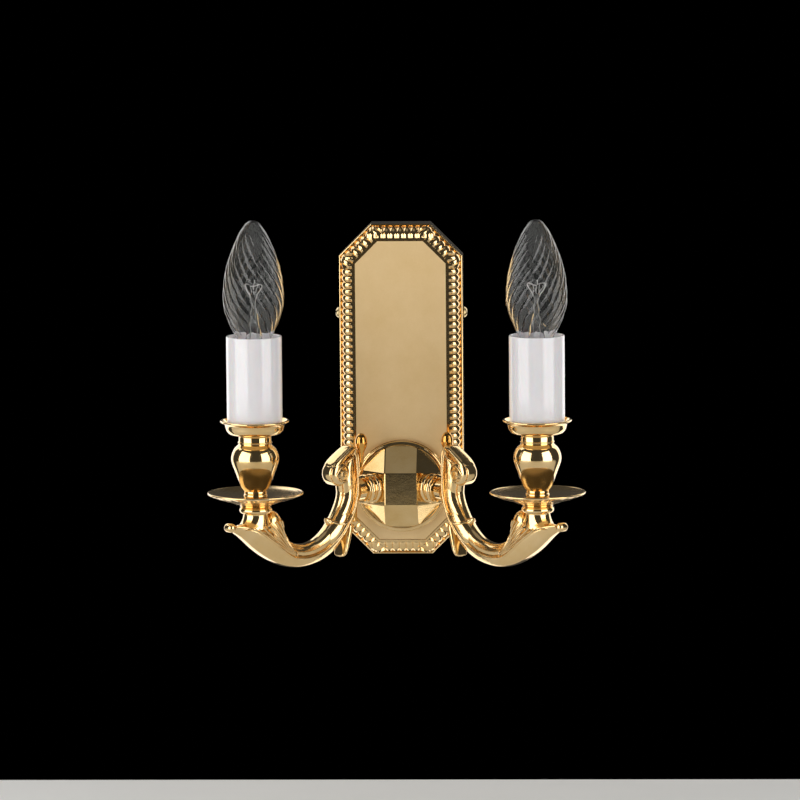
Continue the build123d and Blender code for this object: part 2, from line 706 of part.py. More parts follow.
def lamp_mount():
    """Glass mount: flare sealed in the neck, and the thin rod that carries the filament."""
    low, high = glass_bottom, glass_bottom + mount_height
    base, rod = (glass_neck_radius - glass_wall - fit_gap, low), mount_rod_radius
    flare_top = (rod, low + mount_flare_height)
    knob = (rod + mount_knob_swell, high - mount_knob_height / 2)
    return turned([(0, low), base],
                  ["curve", base, (1.5 * mount_flare_waist, low + mount_flare_height / 4),
                   (mount_flare_waist, low + 0.75 * mount_flare_height), flare_top],
                  [flare_top, (rod, high - mount_knob_height), knob, (rod, high), (0, high), (0, low)])


def lamp_filament():
    """Filament loop on two short stays that stand out from the mount's rod."""
    high = glass_bottom + mount_height
    low = high - filament_drop
    span, wire = filament_span, filament_wire
    loop = hose([(-span, 0, low), (-span, 0, high), (0, 0, high + filament_rise),
                 (span, 0, high), (span, 0, low)], wire)
    for sign in (-1, 1):
        loop += rod_between((sign * mount_rod_radius, 0, low), (sign * span, 0, low), wire)
    return loop


# ---------------------------------------------------------------- leads
def lead(side):
    """Insulated lead from the terminal block, through boss and arm, to the lampholder."""
    start_x = side * block_width / block_ways / 2
    behind = bracket_sheet + block_depth / 2
    points = [(start_x, -behind, block_lift), (start_x, -behind, boss_z + lead_turn_height),
              (start_x, lead_behind_panel - panel_front, boss_z), arm_point(side, lead_in_boss, 0)]
    points += [arm_point(side, reach, height) for reach, _, height in arm_passage()[1:]]
    x, y, _ = arm_point(side, candle_reach, 0)
    points[-1] = (x, y, arm_seat_z + holder_bottom + rod_in_holder)
    return hose(points, lead_radius)


# ---------------------------------------------------------------- assembly
def build():
    nodes = {"back_plate": back_plate(), "wall_bracket": wall_bracket(), "earth_screw": earth_screw(),
             "terminal_block": terminal_block(), "terminal_screws": terminal_screws(),
             "boss_body": boss_body(), "boss_ring": boss_ring(), "boss_screws": boss_screws()}
    one_arm = arm()
    in_arm_frame = {"arm": one_arm, "arm_collar": arm_collar(), "arm_nipple": arm_nipple()}
    on_axis = {"pan_ring": pan_ring(), "drip_pan": drip_pan(), "cup_bead": cup_bead(),
               "candle_cup": candle_cup(), "candle_rod": candle_rod(), "cup_nut": cup_nut(),
               "candle_tube": candle_tube(), "lampholder": lampholder(),
               "lampholder_contacts": lampholder_contacts(), "lamp_cap": lamp_cap(),
               "lamp_insulator": lamp_insulator(), "lamp_glass": lamp_glass(),
               "lamp_mount": lamp_mount(), "lamp_filament": lamp_filament()}
    for name, side in SIDES.items():
        for node, shape in in_arm_frame.items():
            nodes[f"{node}_{name}"] = on_side(shape, side)
        for node, shape in on_axis.items():
            nodes[f"{node}_{name}"] = on_stack(shape, side)
        nodes[f"side_screw_{name}"] = side_screw(side)
        nodes[f"lead_{name}"] = lead(side)
    return nodes


os.makedirs("parts", exist_ok=True)
for node_name, solid in build().items():
    export_step(solid, f"parts/{node_name}.step")
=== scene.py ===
# %% [markdown]
# # A double arm wall sconce, part by part
# This lesson dresses the frame of a polished brass wall light. The frame holds every piece at its
# real size; each step below says what a piece is on the real light, how it could be made in
# Blender, and why one way was chosen. Everything is in metres, X to the right, Y into the wall, Z up.

# %% Load the frame
from math import atan2, cos, pi, radians, sin, sqrt

import bmesh
import bpy
from mathutils.bvhtree import BVHTree
from mathutils import Matrix, Quaternion, Vector

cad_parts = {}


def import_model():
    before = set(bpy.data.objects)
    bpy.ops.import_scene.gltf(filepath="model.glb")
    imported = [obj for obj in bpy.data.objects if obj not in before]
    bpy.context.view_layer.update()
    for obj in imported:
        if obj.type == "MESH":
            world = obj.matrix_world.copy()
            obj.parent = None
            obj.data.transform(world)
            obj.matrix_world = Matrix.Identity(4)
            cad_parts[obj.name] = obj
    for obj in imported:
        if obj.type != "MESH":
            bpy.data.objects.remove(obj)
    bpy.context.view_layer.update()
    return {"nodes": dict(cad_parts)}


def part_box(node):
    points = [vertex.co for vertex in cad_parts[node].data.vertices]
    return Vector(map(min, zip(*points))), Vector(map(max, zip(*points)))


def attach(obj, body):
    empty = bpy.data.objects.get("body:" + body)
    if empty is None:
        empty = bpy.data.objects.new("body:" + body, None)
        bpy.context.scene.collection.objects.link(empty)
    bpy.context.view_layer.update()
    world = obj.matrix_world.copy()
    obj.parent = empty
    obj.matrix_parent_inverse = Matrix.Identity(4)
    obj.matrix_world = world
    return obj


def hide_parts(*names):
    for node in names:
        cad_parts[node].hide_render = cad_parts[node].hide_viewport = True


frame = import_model()
MM = 0.001
SIDES = {"left": -1, "right": 1}

# %% [markdown]
# ## Where things are
# The candle stacks stand on two vertical axes, and the arms lie in upright planes at 45 degrees to
# the wall. Both places could be typed in, but the frame knows them: a candle's axis is the middle of
# its drip pan, and both arms' planes cross behind the boss, as far in as the candle stands out.

# %% Measure the frame
def middle(node):
    """Middle of a node's box."""
    low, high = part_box(node)
    return (low + high) / 2


boss_z = middle("boss_body").z
candle = {name: middle(f"drip_pan_{name}") for name in SIDES}
arm_root_y = candle["right"].y + candle["right"].x
seat_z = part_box("pan_ring_left")[0].z


def arm_place(side):
    """Matrix from the arm's frame (reach, across, height; millimetres) to the sconce's."""
    turn = radians(270 + 45 * side)
    place = Matrix.Translation((0, arm_root_y, boss_z))
    return place @ Matrix.Rotation(turn, 4, "Z") @ Matrix.Scale(MM, 4)


def stack_place(name):
    """Matrix from the candle's own axis (heights above the arm's seat; millimetres)."""
    return Matrix.Translation((candle[name].x, candle[name].y, seat_z)) @ Matrix.Scale(MM, 4)


print("boss height", boss_z, "arm root", arm_root_y, "seat", seat_z)

# %% [markdown]
# ## Camera
# The view is the photograph's: almost square on, a little above and to the right, through a long
# lens. It could be placed by eye; here its angles were worked out from the plate's corners and the
# spread of the arms, and the distance from how much nearer pieces grow.

# %% Set up the camera
view_azimuth = radians(2.4)
view_elevation = radians(7.3)
view_roll = radians(-0.49)
view_distance = 4.179
front_to_rim = 0.007
rim_middle = Vector((0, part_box("back_plate")[0].y + front_to_rim, 0))
sensor_width = 36.0
frame_width = 0.468
picture_offset = (-1.05 * MM, -6.4 * MM)

towards = Vector((sin(view_azimuth) * cos(view_elevation), -cos(view_azimuth) * cos(view_elevation),
                  sin(view_elevation)))
upright = towards.to_track_quat("Z", "Y")
aim = rim_middle + upright @ Vector((*picture_offset, 0))
camera_data = bpy.data.cameras.new("camera")
camera_data.sensor_width = sensor_width
camera_data.lens = sensor_width * view_distance / frame_width
camera_data.clip_start = 0.1
camera_data.clip_end = 50.0
camera = bpy.data.objects.new("camera", camera_data)
camera.location = aim + view_distance * towards
camera.rotation_mode = "QUATERNION"
camera.rotation_quaternion = upright @ Quaternion((0, 0, 1), view_roll)
bpy.context.scene.collection.objects.link(camera)
bpy.context.scene.camera = camera
bpy.context.scene.view_settings.view_transform = "Standard"
print("lens", round(camera_data.lens, 1))

# %% [markdown]
# ## Shader sums as Python
# Node trees could be wired one link at a time. A small class that wraps a socket lets the sums read
# as Python: an expression on wrapped values adds its Math nodes.

# %% Socket class and node method
class Value:
    """A number socket that takes part in Python sums."""

    def __init__(self, tree, socket):
        self.tree = tree
        self.socket = socket

    def sum(self, operation, first, second):
        return self.tree.node("ShaderNodeMath", {"operation": operation}, {0: first, 1: second})

    def __add__(self, other):
        return self.sum("ADD", self, other)

    def __radd__(self, other):
        return self.sum("ADD", other, self)

    def __sub__(self, other):
        return self.sum("SUBTRACT", self, other)

    def __rsub__(self, other):
        return self.sum("SUBTRACT", other, self)

    def __mul__(self, other):
        return self.sum("MULTIPLY", self, other)

    def __rmul__(self, other):
        return self.sum("MULTIPLY", other, self)


class Finish:
    """A material with one Principled shader, whose constant sockets are set on the shader."""

    def __init__(self, name, **constants):
        self.material = bpy.data.materials.new(name)
        self.material.use_nodes = True
        self.nodes = self.material.node_tree.nodes
        self.links = self.material.node_tree.links
        self.shader = self.nodes["Principled BSDF"]
        for socket, value in constants.items():
            self.shader.inputs[socket.replace("_", " ")].default_value = value

    def node(self, kind, settings, inputs, output=0):
        """Adds a node: its settings first, then the values or links of its sockets."""
        new = self.nodes.new(kind)
        for key, value in settings.items():
            if key == "stops":
                self.set_stops(new.color_ramp, value)
            else:
                setattr(new, key, value)
        for socket, value in inputs.items():
            if isinstance(value, Value):
                self.links.new(value.socket, new.inputs[socket])
            else:
                new.inputs[socket].default_value = value
        return Value(self, new.outputs[output])

    @staticmethod
    def set_stops(ramp, stops):
        while len(ramp.elements) < len(stops):
            ramp.elements.new(1.0)
        for element, (position, colour) in zip(ramp.elements, stops):
            element.position = position
            element.color = colour

    def place(self, scale=(1, 1, 1), move=(0, 0, 0)):
        """Object coordinates, scaled and moved."""
        where = self.node("ShaderNodeTexCoord", {}, {}, "Object")
        return self.node("ShaderNodeMapping", {}, {"Vector": where, "Location": move, "Scale": scale})

    def noise(self, where, scale, detail=2.0, roughness=0.5):
        return self.node("ShaderNodeTexNoise", {},
                         {"Vector": where, "Scale": scale, "Detail": detail, "Roughness": roughness})

    def blend(self, factor, first, second):
        """Mix of two colours."""
        return self.node("ShaderNodeMix", {"data_type": "RGBA"}, {0: factor, 6: first, 7: second}, 2)

    def span(self, value, low, high, to_low, to_high):
        """Value between low and high, spread between two others and held there."""
        return self.node("ShaderNodeMapRange", {"clamp": True},
                         {0: value, 1: low, 2: high, 3: to_low, 4: to_high})

    def set(self, **sockets):
        """Links what changes over the surface to the shader."""
        for name, value in sockets.items():
            self.links.new(value.socket, self.shader.inputs[name.replace("_", " ")])

    def relief(self, height, distance, under=None):
        """Bump from a height of 0 to 1, `distance` metres deep, over the bump `under` it."""
        inputs = {"Height": height, "Distance": distance, "Strength": 1.0}
        if under is not None:
            inputs["Normal"] = under
        return self.node("ShaderNodeBump", {}, inputs)


print("shader helpers ready")

# %% [markdown]
# ## Brass
# The light is cast and spun brass, polished and lacquered. One yellow metal colour would look like
# plastic foil: real brass has a deeper tone where the polishing wheel could not reach, a fine
# waviness that breaks up reflections, and tool marks that differ from piece to piece. So each brass
# finish shares one recipe, with its own roughness, waviness and marks. The closed buds beside the
# scrolls are painted redder and darker than the rest: painted shade and painted reflection of the
# brass round them. The boss's facets are darker.

# %% Brass recipe
BRASS_LIGHT = (0.92, 0.68, 0.36, 1)
BRASS_DEEP = (0.84, 0.57, 0.24, 1)
# Patches of tone and fine specks: how many to a metre.
CLOUDS = 45.0
SPECKS = 1400.0
LACQUER = {"Coat_Weight": 0.12, "Coat_Roughness": 0.04, "Coat_IOR": 1.5}


def brass(name, roughness=0.08, wave=0.00004, wave_scale=140.0, marks=None, mark_depth=0.000004,
          light=BRASS_LIGHT, deep=BRASS_DEEP, spread=0.05):
    """Brass with cloudy tone, waviness, and marks: a scale in each direction for fine lines."""
    finish = Finish(name, Metallic=1.0, **LACQUER)
    plain = finish.place()
    cloud = finish.noise(plain, CLOUDS, 4.0, 0.6)
    speck = finish.noise(plain, SPECKS, 2.0)
    tone = finish.span(cloud + 0.15 * speck, 0.38, 0.78, 0.0, 1.0)
    finish.set(Base_Color=finish.blend(tone, light, deep))
    rough = finish.span(cloud * 0.5 + speck * 0.5, 0.3, 0.7, roughness, roughness + spread)
    finish.set(Roughness=rough)
    normal = finish.relief(finish.noise(plain, wave_scale, 2.0), wave)
    if marks:
        lines = finish.noise(finish.place(scale=marks), 1.0, 3.0, 0.65)
        normal = finish.relief(lines, mark_depth, normal)
    finish.set(Normal=normal)
    return finish.material


polished = brass("brass_polished")
cast = brass("brass_cast", roughness=0.11, wave=0.00009, wave_scale=260.0, marks=(700, 700, 700),
             mark_depth=0.000012)
satin = brass("brass_satin", roughness=0.54, wave=0.00002, wave_scale=60.0, marks=(2600, 2600, 60),
              mark_depth=0.000006, light=(0.90, 0.68, 0.38, 1), deep=(0.84, 0.62, 0.32, 1), spread=0.06)
brushed = brass("brass_brushed", roughness=0.06, wave=0.00002, marks=(420, 420, 2200),
                mark_depth=0.000008, light=(0.86, 0.63, 0.31, 1), deep=(0.72, 0.47, 0.17, 1), spread=0.06)
# The bud's darker, redder brass is painted shade and painted reflection of the brass round it.
bud_brass_painted_shade = brass("brass_bud_painted_shade", roughness=0.09, wave=0.00006, wave_scale=240.0,
                   light=(0.80, 0.44, 0.11, 1), deep=(0.60, 0.29, 0.06, 1))
chased = brass("brass_chased", roughness=0.14, wave=0.0001, wave_scale=420.0)
fitting = brass("brass_fitting", roughness=0.25, wave=0.00001, marks=(1500, 1500, 1500),
                light=(0.80, 0.64, 0.34, 1), deep=(0.70, 0.53, 0.26, 1))
print("brass finishes:", [b.name for b in (polished, cast, satin, brushed, bud_brass_painted_shade, chased, fitting)])

# %% [markdown]
# Spun pieces carry fine rings round their own axis. A ring pattern could come from a texture laid
# flat, but the distance from the axis gives it in one sum, and each pan gets its own centre.

# %% Turned brass
def turned_brass(name, centre, roughness=0.15, pitch=2200.0, depth=0.000008):
    """Brass with fine rings about an upright axis through `centre`."""
    finish = Finish(name, Metallic=1.0, **LACQUER)
    around = finish.place(move=(-centre.x, -centre.y, 0), scale=(1, 1, 0))
    reach = finish.node("ShaderNodeVectorMath", {"operation": "LENGTH"}, {0: around}, 1)
    rings = finish.node("ShaderNodeTexNoise", {"noise_dimensions": "1D"},
                        {"W": reach, "Scale": pitch, "Detail": 3.0, "Roughness": 0.7})
    cloud = finish.noise(finish.place(), 60.0, 3.0)
    tone = finish.span(cloud + 0.35 * rings, 0.5, 0.95, 0.0, 1.0)
    finish.set(Base_Color=finish.blend(tone, BRASS_LIGHT, BRASS_DEEP))
    finish.set(Roughness=finish.span(rings, 0.3, 0.7, roughness, roughness + 0.1))
    finish.set(Normal=finish.relief(rings, depth))
    return finish.material


pan_brass = {name: turned_brass(f"brass_turned_{name}", candle[name]) for name in SIDES}
print("turned brass for", list(pan_brass))

# %% [markdown]
# ## Sleeve, glass and the parts inside
# The candle sleeves are glossy white plastic, which lets a little light in under its surface; the
# lamps are clear glass. The pieces inside are steel, plastic and nickel, plain but not one flat
# colour, because they show when a lamp or a sleeve is lifted out.

# %% Other finishes
def moulded(name, colour, shade, roughness, coat=0.0, subsurface=0.0):
    """Plastic or pressed glass between two close colours."""
    finish = Finish(name, Coat_Weight=coat, Coat_Roughness=0.03, IOR=1.5, Subsurface_Weight=subsurface,
                    Subsurface_Scale=0.002)
    cloud = finish.noise(finish.place(), 120.0, 3.0)
    finish.set(Base_Color=finish.blend(finish.span(cloud, 0.35, 0.7, 0.0, 1.0), colour, shade))
    finish.set(Roughness=finish.span(cloud, 0.3, 0.7, roughness, roughness + 0.06))
    finish.set(Normal=finish.relief(finish.noise(finish.place(), 500.0, 2.0), 0.000006))
    return finish.material


def plain_metal(name, colour, shade, roughness, marks):
    """Bare or plated metal with marks: a scale in each direction for fine lines."""
    finish = Finish(name, Metallic=1.0)
    lines = finish.noise(finish.place(scale=marks), 1.0, 3.0)
    finish.set(Base_Color=finish.blend(finish.span(lines, 0.3, 0.7, 0.0, 1.0), colour, shade))
    finish.set(Roughness=finish.span(lines, 0.3, 0.7, roughness, roughness + 0.12))
    finish.set(Normal=finish.relief(lines, 0.000008))
    return finish.material


def glass(name, tint):
    """Clear glass, slightly uneven, that reflects as much as the real one."""
    finish = Finish(name, Transmission_Weight=1.0, IOR=1.5, Specular_IOR_Level=1.0)
    thickness = finish.noise(finish.place(), 90.0, 1.0)
    finish.set(Base_Color=finish.blend(thickness, (1, 1, 1, 1), tint))
    finish.set(Roughness=finish.span(thickness, 0.3, 0.7, 0.0, 0.012))
    return finish.material


sleeve_white = moulded("sleeve_white", (0.76, 0.745, 0.765, 1), (0.74, 0.725, 0.745, 1), 0.14, 0.5, 0.15)
holder_white = moulded("holder_white", (0.82, 0.82, 0.79, 1), (0.76, 0.76, 0.73, 1), 0.4)
block_cream = moulded("block_cream", (0.82, 0.79, 0.68, 1), (0.76, 0.73, 0.62, 1), 0.42)
lead_white = moulded("lead_white", (0.80, 0.80, 0.77, 1), (0.72, 0.72, 0.69, 1), 0.5)
fused_black = moulded("fused_black", (0.02, 0.02, 0.022, 1), (0.035, 0.035, 0.036, 1), 0.12)
zinc = plain_metal("zinc_plate", (0.60, 0.61, 0.62, 1), (0.50, 0.51, 0.53, 1), 0.3, (200, 200, 1600))
nickel = plain_metal("nickel", (0.74, 0.72, 0.69, 1), (0.66, 0.64, 0.61, 1), 0.16, (60, 60, 2600))
wire = plain_metal("filament_wire", (0.70, 0.68, 0.67, 1), (0.58, 0.57, 0.56, 1), 0.35, (900, 900, 900))
lamp_clear = glass("lamp_glass", (0.97, 0.985, 0.98, 1))
print("other finishes:", sleeve_white.name, lamp_clear.name, zinc.name, nickel.name)

# %% [markdown]
# ## Three ways to make a shape
# Almost everything on this light was spun on a lathe, cast, or bent from wire. So three helpers do
# most of the work: one spins an outline about an axis, one draws a ring of points through stations
# along a casting, and one draws a round wire along a line. Modifiers could do the same, but with
# bmesh operators each shape is finished where it is made.

# %% Outlines and spinning
SAME_POINT = 0.001
WELD = 0.0005


def curve(points, steps=6):
    """Smooth line through points, which may have two or three coordinates."""
    points = [Vector(p) for p in points]
    padded = [2 * points[0] - points[1], *points, 2 * points[-1] - points[-2]]
    line = []
    for a, b, c, d in zip(padded, padded[1:], padded[2:], padded[3:]):
        for step in range(steps):
            t = step / steps
            line.append(0.5 * (2 * b + (c - a) * t + (2 * a - 5 * b + 4 * c - d) * t ** 2
                               + (3 * b - a - 3 * c + d) * t ** 3))
    return line + [points[-1]]


def arc(centre, radius, start, end, steps=8):
    """Points of an arc in an outline, angles in degrees."""
    angles = [radians(start + (end - start) * i / steps) for i in range(steps + 1)]
    return [Vector((centre[0] + radius * cos(a), centre[1] + radius * sin(a))) for a in angles]


def spun(bm, outline, steps=96):
    """Spins an outline of (radius, height) about Z. One that ends where it starts is a ring."""
    outline = [Vector(p) for p in outline]
    closed = (outline[0] - outline[-1]).length < SAME_POINT
    if closed:
        outline = outline[:-1]
    verts = [bm.verts.new((r, 0, z)) for r, z in outline]
    edges = [bm.edges.new(pair) for pair in zip(verts, verts[1:])]
    if closed:
        edges.append(bm.edges.new((verts[-1], verts[0])))
    bmesh.ops.spin(bm, geom=verts + edges, cent=(0, 0, 0), axis=(0, 0, 1), angle=2 * pi, steps=steps,
                   use_merge=True)
    bmesh.ops.remove_doubles(bm, verts=bm.verts, dist=WELD)
    bmesh.ops.recalc_face_normals(bm, faces=bm.faces)


print("outlines can be spun")

# %% Castings and wires
def section(place, along, across, thick, wide):
    """Matrix that lays a unit ring across a line: X in the arm's plane, Y across it."""
    side = along.cross(across).normalized()
    over = side.cross(along).normalized()
    turn = Matrix((side * thick, -over * wide, along)).transposed().to_4x4()
    return Matrix.Translation(place) @ turn


def drawn(bm, sections, sides, square=2.0, taper=0.0):
    """Extrudes one ring through a list of section matrices and closes both ends."""
    ring = bmesh.ops.create_circle(bm, cap_ends=False, radius=1.0, segments=sides,
                                   matrix=Matrix.Rotation(pi / sides, 4, "Z"))["verts"]
    for v in ring:
        x, y = v.co.x, v.co.y
        v.co.x = abs(x) ** (2 / square) * (1 if x > 0 else -1)
        v.co.y = abs(y) ** (2 / square) * (1 if y > 0 else -1) * (1 - taper * (1 + v.co.x) / 2)
    bmesh.ops.transform(bm, matrix=sections[0], verts=ring)
    edges = list({e for v in ring for e in v.link_edges})
    first = edges
    for before, after in zip(sections, sections[1:]):
        grown = bmesh.ops.extrude_edge_only(bm, edges=edges)["geom"]
        moved = [g for g in grown if isinstance(g, bmesh.types.BMVert)]
        bmesh.ops.transform(bm, matrix=after @ before.inverted(), verts=moved)
        edges = [g for g in grown if isinstance(g, bmesh.types.BMEdge)
                 and all(v in moved for v in g.verts)]
    bmesh.ops.edgeloop_fill(bm, edges=first)
    bmesh.ops.edgeloop_fill(bm, edges=edges)


def limb(bm, stations, sides, square, taper):
    """Casting in the arm's plane through (reach, height, half thickness, half width).

    A square of 2 is round, and more is boxier. Taper narrows the side that faces the candle.
    """
    places = [Vector((s[0], 0, s[1])) for s in stations]
    sections = []
    for i, (_, _, thick, wide) in enumerate(stations):
        along = (places[min(i + 1, len(places) - 1)] - places[max(i - 1, 0)]).normalized()
        sections.append(section(places[i], along, Vector((0, -1, 0)), thick, wide))
    drawn(bm, sections, sides, square, taper)


def wire_along(bm, points, radius, sides=8, steps=5, end=None, across=(0, -1, 0)):
    """Round wire along a smooth line. It may taper to the radius `end`."""
    line = curve(points, steps)
    end = radius if end is None else end
    sections = []
    for i, place in enumerate(line):
        along = (line[min(i + 1, len(line) - 1)] - line[max(i - 1, 0)]).normalized()
        r = radius + (end - radius) * i / (len(line) - 1)
        sections.append(section(place, along, Vector(across), r, r))
    drawn(bm, sections, sides)


print("castings and wires can be drawn")

# %% Joining and finishing a piece
def join(bm, part):
    """Adds another mesh to this one."""
    held = bpy.data.meshes.new("held")
    part.to_mesh(held)
    part.free()
    bm.from_mesh(held)
    bpy.data.meshes.remove(held)


def piece(name, bm, place, materials, body="root", replaces=(), sharp=40.0,
          levels=0):
    """Finishes a mesh made in millimetres: places it, shades it and gives it to its body."""
    bmesh.ops.transform(bm, matrix=place, verts=bm.verts)
    bmesh.ops.recalc_face_normals(bm, faces=bm.faces)
    mesh = bpy.data.meshes.new(name)
    bm.to_mesh(mesh)
    bm.free()
    mesh.shade_smooth()
    if not levels:
        mesh.set_sharp_from_angle(angle=radians(sharp))
    for material in materials if isinstance(materials, list) else [materials]:
        mesh.materials.append(material)
    made = bpy.data.objects.new(name, mesh)
    bpy.context.scene.collection.objects.link(made)
    if levels:
        smooth = made.modifiers.new("smooth", "SUBSURF")
        smooth.levels = levels
        smooth.render_levels = levels
    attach(made, body)
    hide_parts(*replaces)
    print(name, len(mesh.polygons), "faces on", body)
    return made


print("pieces can be finished")

# %% [markdown]
# ## Back plate
# The plate is a pressed brass box with cut corners: a plain side wall, a thin rim line, a sloped
# border and a raised satin panel with a fine line near its edge. A cube with its four upright
# corners bevelled is the octagon, and insets of its front face make each step in turn, so that all
# eight sides keep the same widths.

# %% Plate shell
plate_low, plate_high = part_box("back_plate")
PLATE_WIDTH = (plate_high.x - plate_low.x) / MM
PLATE_HEIGHT = (plate_high.z - plate_low.z) / MM
PANEL_FRONT = -plate_low.y / MM
RIM_DEPTH = 14.0
CORNER = 18.8
BORDER = 7.7
PLATE_WALL = 1.1
# Each inset of the front face: how far in, and how far forward.
RIM_STEPS = [(0.2, 0.35), (0.25, 0.15), (0.3, 0.0), (0.2, -0.15), (0.15, -0.5)]
PANEL_STEPS = [(0.05, 1.35), (0.18, 0.22), (1.1, 0.06), (0.16, -0.3), (0.2, 0.0), (0.16, 0.3)]


def back_plate():
    bm = bmesh.new()
    size = Matrix.Diagonal((PLATE_WIDTH, RIM_DEPTH, PLATE_HEIGHT, 1))
    bmesh.ops.create_cube(bm, size=1, matrix=Matrix.Translation((0, -RIM_DEPTH / 2, 0)) @ size)
    upright = [e for e in bm.edges if abs((e.verts[0].co - e.verts[1].co).y) > RIM_DEPTH / 2]
    bmesh.ops.bevel(bm, geom=upright, offset=CORNER, offset_type="OFFSET", affect="EDGES", segments=1,
                    profile=0.5, material=-1)
    bmesh.ops.recalc_face_normals(bm, faces=bm.faces)
    face = min(bm.faces, key=lambda f: f.calc_center_median().y)
    back = max(bm.faces, key=lambda f: f.calc_center_median().y)
    bmesh.ops.delete(bm, geom=[back], context="FACES_ONLY")
    rise = PANEL_FRONT - RIM_DEPTH - sum(step[1] for step in RIM_STEPS + PANEL_STEPS)
    slope = (BORDER - sum(step[0] for step in RIM_STEPS), rise)
    for thickness, depth in [*RIM_STEPS, slope, *PANEL_STEPS]:
        bmesh.ops.inset_region(bm, faces=[face], thickness=thickness, depth=depth, use_even_offset=True)
    face.material_index = 1
    plate = piece("back_plate_shell", bm, Matrix.Scale(MM, 4), [polished, satin], replaces=["back_plate"],
                  sharp=20.0)
    wall = plate.modifiers.new("wall", "SOLIDIFY")
    wall.thickness = PLATE_WALL * MM
    wall.offset = -1.0
    return plate


back_plate()

# %% [markdown]
# ## Gadroons
# The border is a quarter-round moulding cut into narrow lobes, which run right up to the corners.
# Each lobe shows two lights: the front soft box near the panel and the back one near the rim.
# Separate beads would break those lights up, so each side is one strip: a quarter circle drawn along
# the side, then scalloped by pushing its points in between the lobes, and mitred at both ends.

# %% Gadroon border
LOBE_PITCH = 3.9
LOBE_ROUND = 2.9
MOULDING_IN = 7.7
MOULDING_OUT = 1.45
MOULDING_LIFT = 0.8
MOULDING_ARC = (-8, 90)
MOULDING_ARC_STEPS = 12
MITRE_SLOPE = 0.414
MITRE_TURN = pi / 8
STEPS_PER_LOBE = 10
SPARE_LOBES = 4


def gadroon_side(bm, start, end):
    """One side of the border between two corners of the plate's front."""
    along = (end - start).normalized()
    inwards = along.cross(Vector((0, 1, 0)))
    if inwards.dot(start) > 0:
        inwards = -inwards
    forward = Vector((0, -1, 0))
    clear = (end - start).length - 2 * MOULDING_IN * MITRE_SLOPE
    lobes = round(clear / LOBE_PITCH)
    pitch = clear / lobes
    steps = STEPS_PER_LOBE * (lobes + SPARE_LOBES)
    radius = MOULDING_IN - MOULDING_OUT
    centre = (start + end) / 2 + inwards * MOULDING_IN + forward * (RIM_DEPTH + MOULDING_LIFT)
    low, high = MOULDING_ARC
    angles = [radians(low + (high - low) * i / MOULDING_ARC_STEPS) for i in range(MOULDING_ARC_STEPS + 1)]
    part = bmesh.new()
    line = [part.verts.new(centre - inwards * radius * cos(a) + forward * radius * sin(a)
                           - along * pitch / STEPS_PER_LOBE * steps / 2) for a in angles]
    edges = [part.edges.new(pair) for pair in zip(line, line[1:])]
    bmesh.ops.spin(part, geom=line + edges, cent=centre, axis=along, dvec=along * pitch / STEPS_PER_LOBE,
                   angle=0, steps=steps)
    for v in part.verts:
        offset = v.co - centre
        travel = offset.dot(along)
        from_crest = ((travel / pitch + lobes / 2) % 1.0 - 0.5) * pitch
        drop = LOBE_ROUND - sqrt(LOBE_ROUND ** 2 - from_crest ** 2)
        v.co -= (offset - along * travel).normalized() * drop
    for corner, way in ((start, -1), (end, 1)):
        cut = along * way * cos(MITRE_TURN) - inwards * sin(MITRE_TURN)
        bmesh.ops.bisect_plane(part, geom=[*part.verts, *part.edges, *part.faces], plane_co=corner,
                               plane_no=cut, clear_outer=True)
    join(bm, part)


def gadroons():
    bm = bmesh.new()
    w, h, c = PLATE_WIDTH / 2, PLATE_HEIGHT / 2, CORNER
    corners = [Vector((x, 0, z)) for x, z in ((w - c, h), (w, h - c), (w, c - h), (w - c, -h), (c - w, -h),
                                              (-w, c - h), (-w, h - c), (c - w, h))]
    for start, end in zip(corners, corners[1:] + corners[:1]):
        gadroon_side(bm, start, end)
    return piece("gadroon_border", bm, Matrix.Scale(MM, 4), polished, sharp=34.0)


gadroons()

# %% [markdown]
# ## Boss and ring
# The boss is a square block whose four slanted facets and four corner triangles were cut and then
# rubbed with fine paper, so that each face holds a different light. Its frame solid already has
# every facet. A copy of it is merged and its edges are bevelled a little, which gives the bright
# line that a hand leaves along each edge. The ring behind it is spun.

# %% Boss and ring
BOSS_PLACE = Matrix.Translation((0, 0, boss_z)) @ Matrix.Rotation(pi / 2, 4, "X") @ Matrix.Scale(MM, 4)
RING_RADIUS = (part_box("boss_ring")[1].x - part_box("boss_ring")[0].x) / 2 / MM
RING_BACK = -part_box("boss_ring")[1].y / MM
RING_FRONT = -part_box("boss_ring")[0].y / MM
RING_HOLE = 12.5
RING_EDGE = 1.5
FACET_ANGLE = radians(20)
FACET_AREA = 20
BEHIND_FACETS = 0.5
EDGE_LINE = 0.4


def boss():
    bm = bmesh.new()
    bm.from_mesh(frame["nodes"]["boss_body"].data)
    bmesh.ops.transform(bm, matrix=Matrix.Scale(1 / MM, 4), verts=bm.verts)
    bmesh.ops.remove_doubles(bm, verts=bm.verts, dist=0.001)
    bmesh.ops.dissolve_limit(bm, angle_limit=radians(1.0), verts=bm.verts, edges=bm.edges)
    back = -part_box("boss_body")[1].y / MM + BEHIND_FACETS
    bmesh.ops.recalc_face_normals(bm, faces=bm.faces)
    facets = [e for e in bm.edges if len(e.link_faces) == 2 and e.calc_face_angle() > FACET_ANGLE
              and all(f.calc_area() > FACET_AREA for f in e.link_faces) and e.verts[0].co.y < -back]
    bmesh.ops.bevel(bm, geom=facets, offset=EDGE_LINE, offset_type="OFFSET", affect="EDGES", segments=2,
                    profile=0.5, material=-1, clamp_overlap=True)
    return piece("boss_faceted", bm, Matrix.Scale(MM, 4), brushed, replaces=["boss_body"], sharp=14.0)


